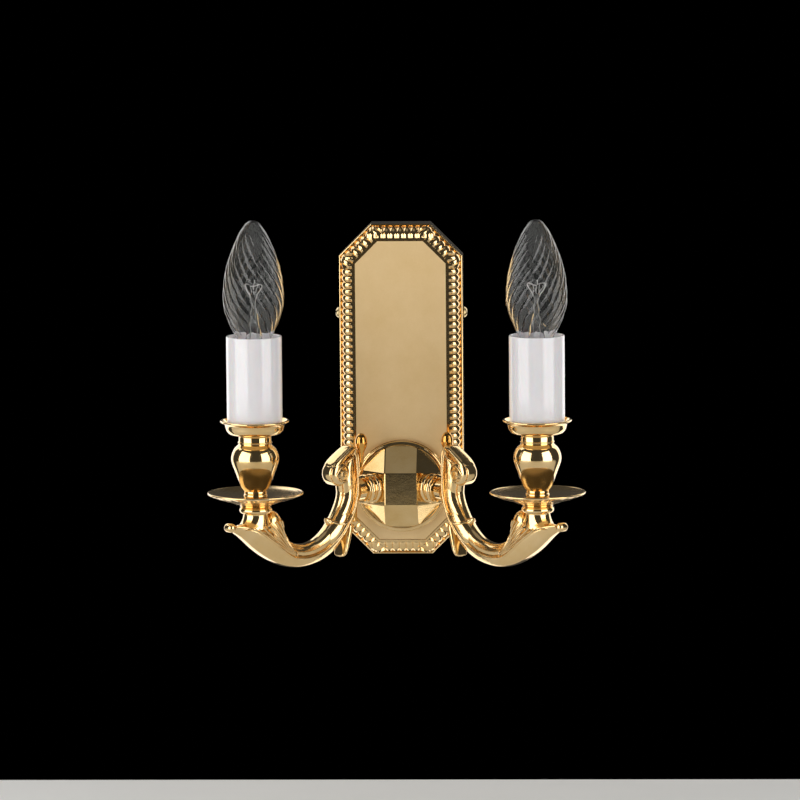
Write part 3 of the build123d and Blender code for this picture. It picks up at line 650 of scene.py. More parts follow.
def boss_ring():
    bm = bmesh.new()
    inner, r, back, front, edge = RING_HOLE, RING_RADIUS, RING_BACK, RING_FRONT, RING_EDGE
    outline = [(inner, back), (r - 0.3, back), (r, back + 0.3), (r, front - edge - 0.6),
               (r - 0.35, front - edge - 0.3)]
    outline += arc((r - 0.35 - edge, front - edge), edge, 0, 90)
    outline += [(r - 2.4, front), (r - 2.6, front - 0.25), (r - 2.8, front), (inner, front), (inner, back)]
    spun(bm, outline, steps=128)
    return piece("boss_ring_turned", bm, BOSS_PLACE, polished, replaces=["boss_ring"], sharp=30.0)


boss()
boss_ring()

# %% [markdown]
# ## Collars
# A turned collar with two rounded bands joins each arm to its facet of the boss. It is one outline
# spun about the arm's axis.

# %% Collars
BOSS_HALF_SQUARE = 9.4
BOSS_FACET_DEPTH = 14.3
COLLAR_START = sqrt(2) * (BOSS_HALF_SQUARE + BOSS_FACET_DEPTH / 2)
COLLAR_LENGTH = 9.6
COLLAR_RADIUS = 8.5
COLLAR_NECK = 6.8
COLLAR_BAND = 3.0
COLLAR_BORE = 4.1


def collar(name, side):
    bm = bmesh.new()
    half, r = COLLAR_BAND / 2, COLLAR_RADIUS
    second = (COLLAR_LENGTH - 2 * COLLAR_BAND) / 2 + COLLAR_BAND
    outline = [(COLLAR_BORE, 0)]
    for low in (0, second):
        outline += arc((r - half * 0.8, low + half), half, -80, 80, 10)
        outline += [(COLLAR_NECK + 0.1, low + COLLAR_BAND + 0.1), (COLLAR_NECK, low + COLLAR_BAND + 0.35)]
    outline += [(COLLAR_NECK + 0.6, COLLAR_LENGTH), (COLLAR_BORE, COLLAR_LENGTH), (COLLAR_BORE, 0)]
    spun(bm, outline, steps=72)
    place = arm_place(side) @ Matrix.Translation((COLLAR_START, 0, 0)) @ Matrix.Rotation(pi / 2, 4, "Y")
    return piece(f"arm_collar_turned_{name}", bm, place, polished, replaces=[f"arm_collar_{name}"])


for name, side in SIDES.items():
    collar(name, side)

# %% [markdown]
# ## Arms
# Each arm is one casting: a leaf that rolls over into a scroll, a round trunk held in a husk, a tail
# behind it, and a boat-shaped leaf that carries the candle. A cheek fills its side between leaf and
# trunk, and a closed bud stands beside the scroll, in a darker, redder brass: painted shade and
# painted reflection of the brass round it. Sculpting would give it, but not twice alike. So it is
# built from limbs: rings of points drawn through stations along each part, then smoothed by
# subdivision. What was turned on the real pattern is spun.

# %% Arm stations
# Stations of the casting: reach, height, half thickness in the arm's plane, half width across it.
# Millimetres, from the boss's axis.
TRUNK = [(49.4, 12.0, 3.6, 4.8), (47.2, 9.0, 4.4, 5.5), (45.0, 4.0, 5.1, 6.0), (44.7, -1.0, 5.2, 6.2),
         (46.0, -6.4, 5.3, 6.2), (49.4, -12.8, 5.4, 6.1), (54.6, -20.0, 5.4, 5.8),
         (62.0, -26.6, 5.2, 5.5), (71.0, -30.6, 5.0, 5.0), (80.5, -31.8, 4.8, 4.9),
         (90.0, -30.0, 5.2, 5.2), (99.0, -25.0, 6.0, 5.9)]
STRIP = [(39.0, 25.0, 1.0, 2.4), (38.6, 20.0, 1.4, 4.0), (38.4, 12.0, 1.6, 5.2), (38.4, 5.0, 1.8, 5.6),
         (38.8, -1.0, 2.0, 5.8), (40.2, -8.0, 2.4, 6.0), (43.6, -15.2, 2.9, 6.1),
         (49.2, -22.8, 3.2, 6.1), (56.6, -29.8, 3.2, 6.1), (66.0, -34.8, 3.1, 6.2),
         (77.0, -37.0, 3.0, 6.5), (86.0, -36.6, 3.4, 6.9), (93.0, -34.6, 4.0, 7.3),
         (100.0, -31.2, 4.7, 7.8), (107.0, -26.6, 5.3, 8.2), (113.5, -22.0, 5.5, 8.3),
         (119.5, -18.0, 4.8, 7.6), (125.0, -15.2, 3.5, 6.2), (130.0, -13.3, 2.4, 4.4),
         (133.8, -12.2, 1.6, 2.8)]
WEB = [(42.6, 16.0, 2.0, 3.0), (41.6, 9.0, 2.8, 3.4), (41.2, 2.0, 3.0, 3.6), (41.8, -5.0, 3.2, 3.8),
       (44.8, -13.0, 3.4, 4.0), (51.0, -21.6, 3.4, 4.2), (58.6, -27.8, 3.2, 4.2),
       (67.6, -32.0, 3.0, 4.4)]
CHEEK = [(41.6, 21.4, 1.6, 3.8), (43.6, 17.0, 4.0, 5.0), (45.0, 12.0, 5.6, 5.8), (45.2, 7.0, 5.6, 6.1),
         (45.0, 2.4, 5.2, 6.0), (45.0, -2.0, 4.6, 5.6), (45.8, -6.5, 3.6, 4.6)]
SHELL = [(84.0, -33.0, 3.6, 5.4), (92.0, -30.2, 5.0, 6.2), (99.0, -26.2, 6.0, 6.8),
         (106.0, -21.4, 6.6, 7.2), (112.0, -17.4, 6.0, 7.4), (118.0, -14.6, 4.4, 6.6),
         (124.0, -13.0, 2.6, 5.0), (129.0, -12.2, 1.4, 3.4)]
CREST = [(96.8, -31.4, 6.6, 6.0), (99.8, -27.6, 7.2, 6.8), (102.0, -23.0, 6.6, 7.5),
         (103.3, -18.0, 6.5, 8.0), (104.3, -13.6, 7.2, 8.1), (105.8, -10.2, 7.4, 7.9),
         (107.4, -8.0, 6.2, 6.8), (108.6, -6.9, 3.8, 4.8)]
HUSK = [(46.6, -9.4, 5.2, 6.0), (49.4, -14.6, 6.1, 6.8), (53.2, -19.8, 6.4, 6.9),
        (57.8, -24.4, 6.0, 6.4), (64.0, -28.4, 5.2, 5.5)]
THORN = [(52.4, -20.6, 4.8, 4.8), (55.6, -18.0, 3.7, 3.6), (58.8, -15.9, 2.3, 2.1),
         (61.6, -14.0, 0.8, 0.8)]
LEAF = [(38.6, 20.5, 1.3, 3.0), (39.2, 25.0, 1.8, 3.8), (42.0, 26.0, 2.1, 4.6), (46.0, 23.4, 2.2, 5.0),
        (50.4, 20.4, 2.5, 5.3), (54.6, 17.0, 3.0, 5.5), (57.0, 13.4, 3.0, 5.4)]
TAIL = [(43.6, -17.0, 2.2, 5.4), (45.4, -24.0, 2.0, 4.8), (47.4, -30.4, 1.7, 5.0),
        (49.4, -35.4, 1.2, 5.2), (50.4, -37.4, 0.6, 3.8)]
WEDGE = [(38.4, 6.0, 1.2, 5.0), (37.2, 14.0, 1.2, 4.0), (36.2, 20.0, 1.3, 2.4), (35.6, 25.0, 1.2, 1.6)]
ROLL = (52.4, 11.8)
ROLL_RADIUS = 7.4
ROLL_HALF = 5.8
ROLL_ROUND = 3.4
NOSE = (134.4, -11.8)
NOSE_RADIUS = 2.6
NOSE_HALF = 3.6
NOSE_ROUND = 2.2
BUD = (35.2, 28.6)
BUD_ACROSS = 3.3
BUD_SHAPE = [(1.0, -12.8), (1.3, -8.0), (1.8, -5.6), (3.1, -2.6), (3.5, 0.2), (3.0, 2.8), (1.7, 4.7),
             (0, 5.3)]
NECK_RADIUS = 7.2
NECK_TALL = 8.5
NECK_SQUEEZE = 0.18
PAD_RADIUS = 6.6
PAD_LENGTH = 5.4
CANDLE_REACH = 114.6
ARM_SEAT = -5.2


def drum(bm, centre, radius, half, rounding):
    """Rolled end: a short round bar across the arm with domed ends."""
    outline = [(0, -half)]
    outline += arc((radius - rounding, rounding - half), rounding, -90, 0, 5)
    outline += arc((radius - rounding, half - rounding), rounding, 0, 90, 5)
    outline += [(0, half)]
    part = bmesh.new()
    spun(part, outline, steps=48)
    place = Matrix.Translation((centre[0], 0, centre[1])) @ Matrix.Rotation(pi / 2, 4, "X")
    bmesh.ops.transform(part, matrix=place, verts=part.verts)
    join(bm, part)


# Each limb: its stations, sides of its ring, squareness and taper.
LIMBS = [(TRUNK, 16, 2.0, 0.0), (STRIP, 28, 4.0, 0.5), (WEB, 20, 2.4, 0.0), (CHEEK, 20, 2.2, 0.0),
         (SHELL, 20, 2.2, 0.0), (CREST, 20, 2.2, 0.0), (HUSK, 20, 2.0, 0.0), (THORN, 12, 2.0, 0.0),
         (LEAF, 20, 3.0, 0.0), (TAIL, 20, 3.4, 0.0), (WEDGE, 12, 2.4, 0.0)]
print("arm limbs:", len(LIMBS), "with", sum(len(limb_line[0]) for limb_line in LIMBS), "stations")

# %% Neck, pad and bud
def neck_and_pad(bm):
    """Flared neck under the candle, drawn in across the arm, and the pad inside the collar."""
    neck = bmesh.new()
    low = ARM_SEAT - NECK_TALL
    flare = curve([(14.5, low), (12.4, low + 1.4), (9.6, low + 3.2), (8.0, low + 5.4),
                   (NECK_RADIUS, low + 7.4), (NECK_RADIUS, ARM_SEAT)], 4)
    spun(neck, [(0, low), *flare, (0, ARM_SEAT)], steps=64)
    for v in neck.verts:
        reach = v.co.xy.length
        if reach > NECK_RADIUS:
            v.co.y *= (NECK_RADIUS + NECK_SQUEEZE * (reach - NECK_RADIUS)) / reach
    bmesh.ops.transform(neck, matrix=Matrix.Translation((CANDLE_REACH, 0, 0)), verts=neck.verts)
    join(bm, neck)
    pad = bmesh.new()
    spun(pad, [(0, 0), (PAD_RADIUS - 0.3, 0), (PAD_RADIUS, 0.3), (PAD_RADIUS, PAD_LENGTH),
               (0, PAD_LENGTH)], steps=48)
    place = Matrix.Translation((COLLAR_START + COLLAR_LENGTH, 0, 0)) @ Matrix.Rotation(pi / 2, 4, "Y")
    bmesh.ops.transform(pad, matrix=place, verts=pad.verts)
    join(bm, pad)


def bud(bm):
    """Closed bud on its stem."""
    part = bmesh.new()
    outline = [(0, -13), (1.0, -13), *curve(BUD_SHAPE, 4)]
    spun(part, outline, steps=40)
    reach, height = BUD
    bmesh.ops.transform(part, matrix=Matrix.Translation((reach, BUD_ACROSS, height)), verts=part.verts)
    join(bm, part)
    foot = height - 12
    stem = [(reach, BUD_ACROSS, foot), (reach + 0.8, 2.2, foot - 3), (reach + 2.6, 0.5, foot - 7)]
    wire_along(bm, stem, 1.2, end=1.6)


print("neck", NECK_TALL, "mm tall, bud at", BUD)

# %% Arm casting
def cast_forms(bm):
    """The big forms, which subdivision smooths."""
    for stations, sides, square, taper in LIMBS:
        limb(bm, stations, sides, square, taper)


def turned_forms(bm):
    """Scroll, nose, neck and pad, which are round already."""
    drum(bm, ROLL, ROLL_RADIUS, ROLL_HALF, ROLL_ROUND)
    drum(bm, NOSE, NOSE_RADIUS, NOSE_HALF, NOSE_ROUND)
    neck_and_pad(bm)


def arm(name, side):
    bm = bmesh.new()
    cast_forms(bm)
    piece(f"arm_casting_{name}", bm, arm_place(side), cast, replaces=[f"arm_{name}"], levels=2)
    bm = bmesh.new()
    turned_forms(bm)
    piece(f"arm_turned_{name}", bm, arm_place(side), polished)
    bm = bmesh.new()
    bud(bm)
    # The bud gets the darker, redder brass: painted shade and painted reflection.
    return piece(f"arm_bud_{name}", bm, arm_place(side), bud_brass_painted_shade)


for name, side in SIDES.items():
    arm(name, side)

# %% [markdown]
# ## Lines and ribs on the arms
# The chaser drew thin raised lines along the leaf's edges, round the husk's mouth and up to its
# thorn, and cut a fan of ribs where the boat leaf meets the neck. They are wires sunk to half their
# thickness in the casting. Only their reach and height are given; a ray cast from the side finds how
# far out the casting's surface lies there.

# %% Chased lines
# Points of each line: reach and height.
EDGE_PATH = [(40.2, 25.6), (39.6, 20.0), (39.6, 12.0), (39.6, 5.0), (40.0, -1.0), (41.4, -7.6),
             (44.2, -13.6), (48.2, -19.6), (52.0, -24.0)]
MOUTH_PATH = [(40.6, -3.0), (42.2, -8.0), (44.2, -11.6), (47.0, -14.8), (50.6, -16.8), (54.4, -17.2),
              (57.4, -16.2), (59.6, -15.0)]
LEAF_PATH = [(40.0, 24.2), (41.6, 21.0), (45.4, 18.6), (50.0, 17.0), (54.4, 14.8), (57.0, 11.8)]
EYE_PATH = [(54.8, 9.4), (52.2, 7.6), (49.4, 8.4), (48.4, 11.0), (50.0, 13.2), (52.6, 12.6),
            (53.0, 10.6), (51.4, 10.2)]
FACE_PATH = [(132.0, -11.2), (127.0, -12.0), (121.0, -13.6), (115.4, -16.6), (108.0, -21.4),
             (99.0, -28.2), (91.0, -33.0), (82.0, -34.6)]
RIB_FOOT = (89.0, -31.4)
RIB_TOPS = [(119.4, -13.6), (116.0, -12.6), (112.6, -11.8), (109.4, -11.0), (106.4, -10.4), (103.6, -10.0),
            (101.0, -10.4), (98.8, -12.0)]
RIB_BOW = (-0.6, -1.6)
RIB_RADII = (0.35, 0.85)
OUTSIDE_ARM = 30
# Each line and the radius of its wire.
LINES = ((EDGE_PATH, 0.6), (MOUTH_PATH, 0.75), (LEAF_PATH, 0.6), (EYE_PATH, 0.55), (FACE_PATH, 0.6))


def surface_line(tree, path, way, lift=0.1):
    """The path laid on the casting's side: +1 or -1 says which side."""
    line = []
    for place in curve(path, 4):
        start = Vector((place[0], OUTSIDE_ARM * way, place[1]))
        hit = tree.ray_cast(start, Vector((0, -way, 0)))[0]
        if hit is not None:
            line.append(hit + Vector((0, way * lift, 0)))
    return line


def chased_lines(name, side):
    form = bmesh.new()
    cast_forms(form)
    turned_forms(form)
    tree = BVHTree.FromBMesh(form)
    form.free()
    bm = bmesh.new()
    for way in (1, -1):
        for path, radius in LINES:
            wire_along(bm, surface_line(tree, path, way), radius, steps=1)
        for top in RIB_TOPS:
            bow = ((RIB_FOOT[0] + top[0]) / 2 + RIB_BOW[0], (RIB_FOOT[1] + top[1]) / 2 + RIB_BOW[1])
            rib = surface_line(tree, [RIB_FOOT, bow, top], way)
            wire_along(bm, rib, RIB_RADII[0], end=RIB_RADII[1], steps=1)
    return piece(f"arm_lines_{name}", bm, arm_place(side), chased, sharp=70.0)


for name, side in SIDES.items():
    chased_lines(name, side)

# %% [markdown]
# ## Pan, bead and cup
# The pieces that carry a candle were spun from sheet or turned from bar, so each is one outline
# spun full circle. Only the leafy rim under the pan is more: its small lobes are a wave pushed into
# the underside of the same mesh.

# %% Heights above the arm's seat
RING_TOP = 3.8
PAN_FLOOR = 9.2
PAN_RIM = 12.2
PAN_RADIUS = 27.6
PAN_EDGE = 1.1
PAN_LOBES = 26
LOBE_HEIGHT = 0.55
CUP_BOTTOM = 11.6
CUP_RIM = 54.0
CUP_FLOOR = 50.8
CUP_RADIUS = 19.9
BELLY = 13.8
NECK = 9.35
ROD = 5.1
CUP_TALL = CUP_RIM - CUP_BOTTOM
RING_BULGE = 7.5
BEAD_BULGE = 5.7
BAND_STEPS = {"pan_ring": 14, "cup_bead": 12}
HUB_RISE = 1.3
LOBED_SHARE = (0.60, 0.965)
# Cup outline: shares of the belly's or the head's radius, and of the cup's height of 42.4 mm.
VASE = [(0.61, 0.10), (0.81, 0.27), (1.0, 0.458), (0.90, 0.595)]
HEAD = [(0.54, 0.793), (0.735, 0.815), (0.825, 0.865), (0.855, 0.915), (0.89, 0.948), (0.955, 0.966)]
LIP = 0.55


def turned_band(name, node, low, high, bulge):
    """Ring with a rounded edge between two heights."""
    bm = bmesh.new()
    half = (high - low) / 2
    rounded = arc((bulge, low + half), half, -88, 88, BAND_STEPS[node])
    spun(bm, [(ROD, low), *rounded, (ROD, high), (ROD, low)], steps=72)
    return piece(f"{node}_turned_{name}", bm, stack_place(name), polished, replaces=[f"{node}_{name}"])


def drip_pan(name):
    """Shallow dish with a hub below, a rolled edge and lobes under its rim."""
    bm = bmesh.new()
    r, edge = PAN_RADIUS, PAN_EDGE
    hub_top = RING_TOP + HUB_RISE
    low = PAN_RIM - edge
    under = curve([(9.6, hub_top), (12.4, hub_top + 0.8), (0.55 * r, hub_top + 1.9),
                   (0.70 * r, hub_top + 3.2), (0.87 * r, low - 1.1), (0.955 * r, low - 0.3),
                   (r - 0.5, low + 0.1)], 7)
    dish = curve([(r - edge - 0.35, PAN_RIM - 0.35), (0.85 * r, PAN_FLOOR + 1.8),
                  (0.72 * r, PAN_FLOOR + 1.05), (0.55 * r, PAN_FLOOR + 0.5), (8.6, PAN_FLOOR)], 6)
    outline = [(ROD, RING_TOP), (8.4, RING_TOP), (9.0, RING_TOP + 0.4), *under,
               *arc((r - edge / 2, PAN_RIM - edge / 2), edge / 2, -80, 140, 10), *dish, (ROD, PAN_FLOOR),
               (ROD, RING_TOP)]
    spun(bm, outline, steps=PAN_LOBES * 8)
    inner, outer = (share * r for share in LOBED_SHARE)
    for v in bm.verts:
        reach = v.co.xy.length
        ceiling = PAN_FLOOR + 0.2 + (PAN_RIM - PAN_FLOOR) * (reach / r) ** 3 - 1.0
        if inner < reach < outer and v.co.z < ceiling:
            share = (reach - inner) / (outer - inner)
            lobe = abs(cos(atan2(v.co.y, v.co.x) * PAN_LOBES / 2)) ** 0.8
            v.co.z -= LOBE_HEIGHT * lobe * sin(pi * share) ** 0.7 * (0.4 + 0.6 * share)
    return piece(f"drip_pan_dished_{name}", bm, stack_place(name), pan_brass[name],
                 replaces=[f"drip_pan_{name}"], sharp=50.0)


def candle_cup(name):
    """Vase with a narrow neck and a dished head in one outline."""
    bm = bmesh.new()
    low, tall = CUP_BOTTOM, CUP_TALL
    vase = [(r * BELLY, low + z * tall) for r, z in VASE]
    body = curve([(6.4, low + 1.3), *vase, (NECK, low + 0.675 * tall)], 8)
    ring = [(NECK, low + 0.682 * tall), *arc((NECK, low + 0.698 * tall), LIP, -80, 80, 6),
            (NECK, low + 0.716 * tall)]
    head = curve([(NECK, low + 0.775 * tall), *[(r * CUP_RADIUS, low + z * tall) for r, z in HEAD]], 6)
    lip = arc((CUP_RADIUS - LIP, CUP_RIM - 0.62), LIP, -70, 90, 8)
    dish = [(CUP_RADIUS - 1.3, CUP_RIM), (16.7, CUP_FLOOR + 0.4), (16.3, CUP_FLOOR), (14.4, CUP_FLOOR),
            (ROD, CUP_FLOOR), (ROD, low)]
    foot = [(ROD, low), (6.3, low), (6.5, low + 0.25), (6.5, low + 1.0)]
    outline = [*foot, *body, *ring, *head, *lip, *dish]
    spun(bm, outline, steps=96)
    return piece(f"candle_cup_spun_{name}", bm, stack_place(name), polished,
                 replaces=[f"candle_cup_{name}"], sharp=32.0)


for name in SIDES:
    turned_band(name, "pan_ring", 0, RING_TOP, RING_BULGE)
    drip_pan(name)
    turned_band(name, "cup_bead", PAN_FLOOR, CUP_BOTTOM, BEAD_BULGE)
    candle_cup(name)

# %% [markdown]
# ## Candle sleeves
# A sleeve is a plain white tube that drops over the lampholder and stands in the cup's dish. Its
# softly rounded ends are what tells it from a cylinder. It rides on its own body, because it lifts
# off for cleaning.

# %% Candle sleeves
SLEEVE_RADIUS = 15.95
SLEEVE_WALL = 1.2
SLEEVE_TOP = 102.5
SLEEVE_ROUNDS = (0.3, 0.45)


def candle_sleeve(name):
    bm = bmesh.new()
    r, wall = SLEEVE_RADIUS, SLEEVE_WALL
    small, large = SLEEVE_ROUNDS
    outline = [*arc((r - small, CUP_FLOOR + small), small, -90, 0, 4),
               *arc((r - large, SLEEVE_TOP - large), large, 0, 90, 6),
               *arc((r - wall + small, SLEEVE_TOP - small), small, 90, 180, 4), (r - wall, CUP_FLOOR)]
    spun(bm, [*outline, outline[0]], steps=96)
    return piece(f"candle_sleeve_{name}", bm, stack_place(name), sleeve_white, body=f"sleeve_{name}",
                 replaces=[f"candle_tube_{name}"])


for name in SIDES:
    candle_sleeve(name)

# %% [markdown]
# ## Lamps
# A twisted candle lamp is a thin glass bulb that was pressed in a fluted mould while it was turned.
# Its outline is spun with many steps, and then each point moves in or out by a wave of sixteen
# lobes that turns as it climbs. The inside follows the outside almost as deeply, so the wall stays
# thin and the glass bends the light as the real one does. The flutes of the two lamps turn opposite
# ways, as in the photograph.

# %% Lamp glass
GLASS_BOTTOM = 94.5
GLASS_RADIUS = 17.5
GLASS_TALL = 74.5
GLASS_NECK = 8.0
GLASS_WALL = 0.6
ON_AXIS = 0.01
INSIDE_WAVE = 0.94
GLASS_SHAPE = [(0.457, 0.034), (0.709, 0.157), (0.877, 0.251), (0.985, 0.344), (1.0, 0.43), (0.94, 0.577),
               (0.786, 0.716), (0.543, 0.856), (0.35, 0.949)]
FLUTES = 16
FLUTE_DEPTH = 1.0
FLUTE_TWIST = radians(200)
FLUTE_START = 0.10
FLUTE_END = 0.97
FLUTE_SWELL = (0.12, 0.4)
FLUTE_LEVEL = 0.9
TIP_RADIUS = 5.6
TIP_ARC = (32, 90)


def lamp_glass(name, side):
    """Bulb with leaning flutes, on its own body because it screws out."""
    bm = bmesh.new()
    line = curve([(r * GLASS_RADIUS, GLASS_BOTTOM + z * GLASS_TALL) for r, z in GLASS_SHAPE], 10)
    tip = arc((0, GLASS_BOTTOM + GLASS_TALL - TIP_RADIUS), TIP_RADIUS, *TIP_ARC, 10)
    outside = [Vector((GLASS_NECK, GLASS_BOTTOM)), *line[:-4], *tip]
    inside = []
    for i, place in enumerate(outside):
        along = outside[min(i + 1, len(outside) - 1)] - outside[max(i - 1, 0)]
        if i == 0:
            along = Vector((0, 1))
        if i == len(outside) - 1:
            along = Vector((-1, 0))
        inwards = Vector((-along.y, along.x)).normalized()
        inner = place + inwards * GLASS_WALL
        inside.append(Vector((max(inner.x, 0), inner.y)))
    spun(bm, [*reversed(inside), *outside], steps=160)
    for v in bm.verts:
        level = (v.co.z - GLASS_BOTTOM) / GLASS_TALL
        reach = v.co.xy.length
        if reach < ON_AXIS:
            continue
        share = min(1.0, max(0.0, (level - FLUTE_START) / (FLUTE_END - FLUTE_START)))
        swell = min(1.0, share / FLUTE_SWELL[0]) * min(1.0, (1 - share) / FLUTE_SWELL[1])
        wave = abs(cos(atan2(v.co.y, v.co.x) * FLUTES / 2)) - FLUTE_LEVEL
        outer = v.normal.dot(Vector((v.co.x, v.co.y, 0))) > 0
        v.co.xy = v.co.xy * (1 + FLUTE_DEPTH * swell * wave * (1.0 if outer else INSIDE_WAVE) / reach)
    for v in bm.verts:
        turn = side * FLUTE_TWIST * (v.co.z - GLASS_BOTTOM) / GLASS_TALL
        v.co = Matrix.Rotation(turn, 3, "Z") @ v.co
    bm.normal_update()
    bulb = piece(f"lamp_bulb_{name}", bm, stack_place(name), lamp_clear, body=f"lamp_{name}",
                 replaces=[f"lamp_glass_{name}"], sharp=28.0)
    bulb.visible_shadow = False
    return bulb


for name, side in SIDES.items():
    lamp_glass(name, side)

# %% [markdown]
# Inside each bulb a glass flare carries a pressed stem, and two wires lead up through it to the
# small filament on its hooks. Flare and stem are spun, the stem is flattened, the wires are drawn.

# %% Lamp mount and filament
FLARE = [(7.2, 95.6), (5.4, 97.4), (4.7, 102.5), (3.9, 107.0), (3.2, 112.5), (2.2, 115.5)]
FLARE_WALL = 0.6
STEM_TOP = 126.2
STEM_SHAPE = [(0, STEM_TOP + 1.2), (1.5, STEM_TOP + 0.6), (2.3, STEM_TOP - 0.6), (1.5, STEM_TOP - 2.4),
              (1.35, 120.0), (1.7, 115.0), (2.3, 111.5), (0, 110.5)]
STEM_FLATNESS = 0.6
FILAMENT_LEVEL = 131.5
FILAMENT_HALF = 5.2
LEAD_WIRE = 0.3
HOOK_WIRE = 0.18
CENTRE_WIRE = 0.25
# One of the two lead-in wires: distance from the axis, and height.
LEAD_IN = [(2.2, 99.0), (1.9, 110.0), (1.2, 117.0), (1.2, 124.0), (2.2, 126.6), (3.6, 128.4),
           (FILAMENT_HALF, FILAMENT_LEVEL)]


def lamp_mount(name):
    bm = bmesh.new()
    flare = curve(FLARE, 6)
    inner = [Vector((p.x - FLARE_WALL, p.y)) for p in reversed(flare)]
    spun(bm, [*flare, *inner, flare[0]], steps=48)
    stem = bmesh.new()
    spun(stem, curve(STEM_SHAPE, 5), steps=24)
    bmesh.ops.scale(stem, vec=(1.0, STEM_FLATNESS, 1.0), verts=stem.verts)
    join(bm, stem)
    return piece(f"lamp_stem_{name}", bm, stack_place(name), lamp_clear, body=f"lamp_{name}",
                 replaces=[f"lamp_mount_{name}"], sharp=60.0)


def lamp_filament(name):
    bm = bmesh.new()
    for way in (-1, 1):
        wire_along(bm, [(way * x, 0, z) for x, z in LEAD_IN], LEAD_WIRE)
        wire_along(bm, [(way * 1.2, 0.9, STEM_TOP), (way * 1.8, 1.6, 129.0),
                        (way * 2.4, 1.4, FILAMENT_LEVEL + 0.6)], HOOK_WIRE)
    wire_along(bm, [(0, 0, STEM_TOP), (0.2, 0, 130.0), (0.4, 0.6, 134.4)], CENTRE_WIRE)
    coil = [(FILAMENT_HALF * cos(a), 2.4 - 1.2 * cos(2 * a), FILAMENT_LEVEL + 0.5 * sin(3 * a))
            for a in (pi * i / 8 for i in range(9))]
    wire_along(bm, coil, LEAD_WIRE, across=(0, 0, 1))
    return piece(f"lamp_wires_{name}", bm, stack_place(name), wire, body=f"lamp_{name}",
                 replaces=[f"lamp_filament_{name}"])


for name in SIDES:
    lamp_mount(name)
    lamp_filament(name)

# %% [markdown]
# ## Side screws
# The two slotted screws in the long sides hold the plate on its bracket. The head is a spun dome.
# Its slot could be cut with a boolean, but three bisections mark it, its faces are taken out, and an
# extrusion makes its walls, so that the edges stay crisp.

# %% Side screws
SCREW_HEAD = 3.2
SCREW_SHANK = [(0, -7.0), (1.8, -7.0), (2.0, -6.7), (2.0, 0)]
SCREW_EDGE = [(SCREW_HEAD - 0.2, 0), (SCREW_HEAD, 0.2), (SCREW_HEAD, 0.8)]
SCREW_DOME = [(SCREW_HEAD - 0.25, 1.15), (0.75 * SCREW_HEAD, 1.85), (0.45 * SCREW_HEAD, 2.35), (0, 2.5)]
SLOT_HALF = 0.5
SLOT_FLOOR = 1.2
SLOT_TURN = radians(24)


def side_screw(name, side):
    bm = bmesh.new()
    spun(bm, [*SCREW_SHANK, *SCREW_EDGE, *curve(SCREW_DOME, 5)], steps=40)
    for offset in (-SLOT_HALF, SLOT_HALF):
        geometry = [*bm.verts, *bm.edges, *bm.faces]
        bmesh.ops.bisect_plane(bm, geom=geometry, plane_co=(offset, 0, 0), plane_no=(1, 0, 0))
    geometry = [*bm.verts, *bm.edges, *bm.faces]
    bmesh.ops.bisect_plane(bm, geom=geometry, plane_co=(0, 0, SLOT_FLOOR), plane_no=(0, 0, 1))
    cut = [f for f in bm.faces if abs(f.calc_center_median().x) < SLOT_HALF
           and f.calc_center_median().z > SLOT_FLOOR]
    bmesh.ops.delete(bm, geom=cut, context="FACES")
    rim = [e for e in bm.edges if len(e.link_faces) == 1]
    walls = bmesh.ops.extrude_edge_only(bm, edges=rim)["geom"]
    for v in (g for g in walls if isinstance(g, bmesh.types.BMVert)):
        v.co.z = SLOT_FLOOR
    bmesh.ops.remove_doubles(bm, verts=bm.verts, dist=SAME_POINT)
    floor_edges = [e for e in bm.edges if len(e.link_faces) == 1]
    bmesh.ops.contextual_create(bm, geom=floor_edges)
    centre = middle(f"side_screw_{name}")
    seat = side * PLATE_WIDTH / 2 * MM
    place = Matrix.Translation((seat, centre.y, centre.z)) @ Matrix.Rotation(side * pi / 2, 4, "Y")
    place = place @ Matrix.Rotation(SLOT_TURN, 4, "Z") @ Matrix.Scale(MM, 4)
    return piece(f"side_screw_slotted_{name}", bm, place, fitting, body=f"screw_{name}",
                 replaces=[f"side_screw_{name}"], sharp=30.0)


for name, side in SIDES.items():
    side_screw(name, side)

# %% [markdown]
# ## Pieces kept from the frame
# The steel, the lampholders and the wiring inside have the right shape already. They keep their own
# meshes and only get their finishes.

# %% Finishes for the frame's pieces
KEPT = {"wall_bracket": zinc, "earth_screw": fitting, "terminal_block": block_cream,
        "terminal_screws": zinc, "boss_screws": zinc}
for name in SIDES:
    KEPT.update({f"arm_nipple_{name}": fitting, f"candle_rod_{name}": zinc, f"cup_nut_{name}": fitting,
                 f"lampholder_{name}": holder_white, f"lampholder_contacts_{name}": fitting,
                 f"lamp_cap_{name}": nickel, f"lamp_insulator_{name}": fused_black,
                 f"lead_{name}": lead_white})
for node, material in KEPT.items():
    for held in frame["nodes"][node].material_slots:
        held.material = material
print("kept from the frame:", len(KEPT), "pieces")

# %% [markdown]
# ## Room and light
# The light hangs in a dark studio over a pale floor. Brass shows only what it reflects, so the
# soft boxes are large glowing cards set where the photograph's highlights say they stood: one at
# the left, one at the right, a dark gap between them behind the camera, and two behind the object
# that draw the bright lines along its silhouette. A fifth, high behind the left, lights a facet of
# the boss, and a dim one is overhead. Neither the camera nor the lamps' glass sees a card: the glass
# shows only what it reflects, on the dark behind it.

# %% Floor and world
FLOOR_Z = -0.24
FLOOR_PLACE = Matrix.Translation((0, -0.62, FLOOR_Z)) @ Matrix.Diagonal((1.4, 0.65, 1, 1))
FLOOR_COLOUR = (0.74, 0.74, 0.72, 1)
# Grey of the room: in reflections, through glass, and behind the object.
REFLECTED, THROUGH, SEEN = 0.05, 0.02, 0.0
WARMTH = 0.97
GRAIN_SHADE = 0.97


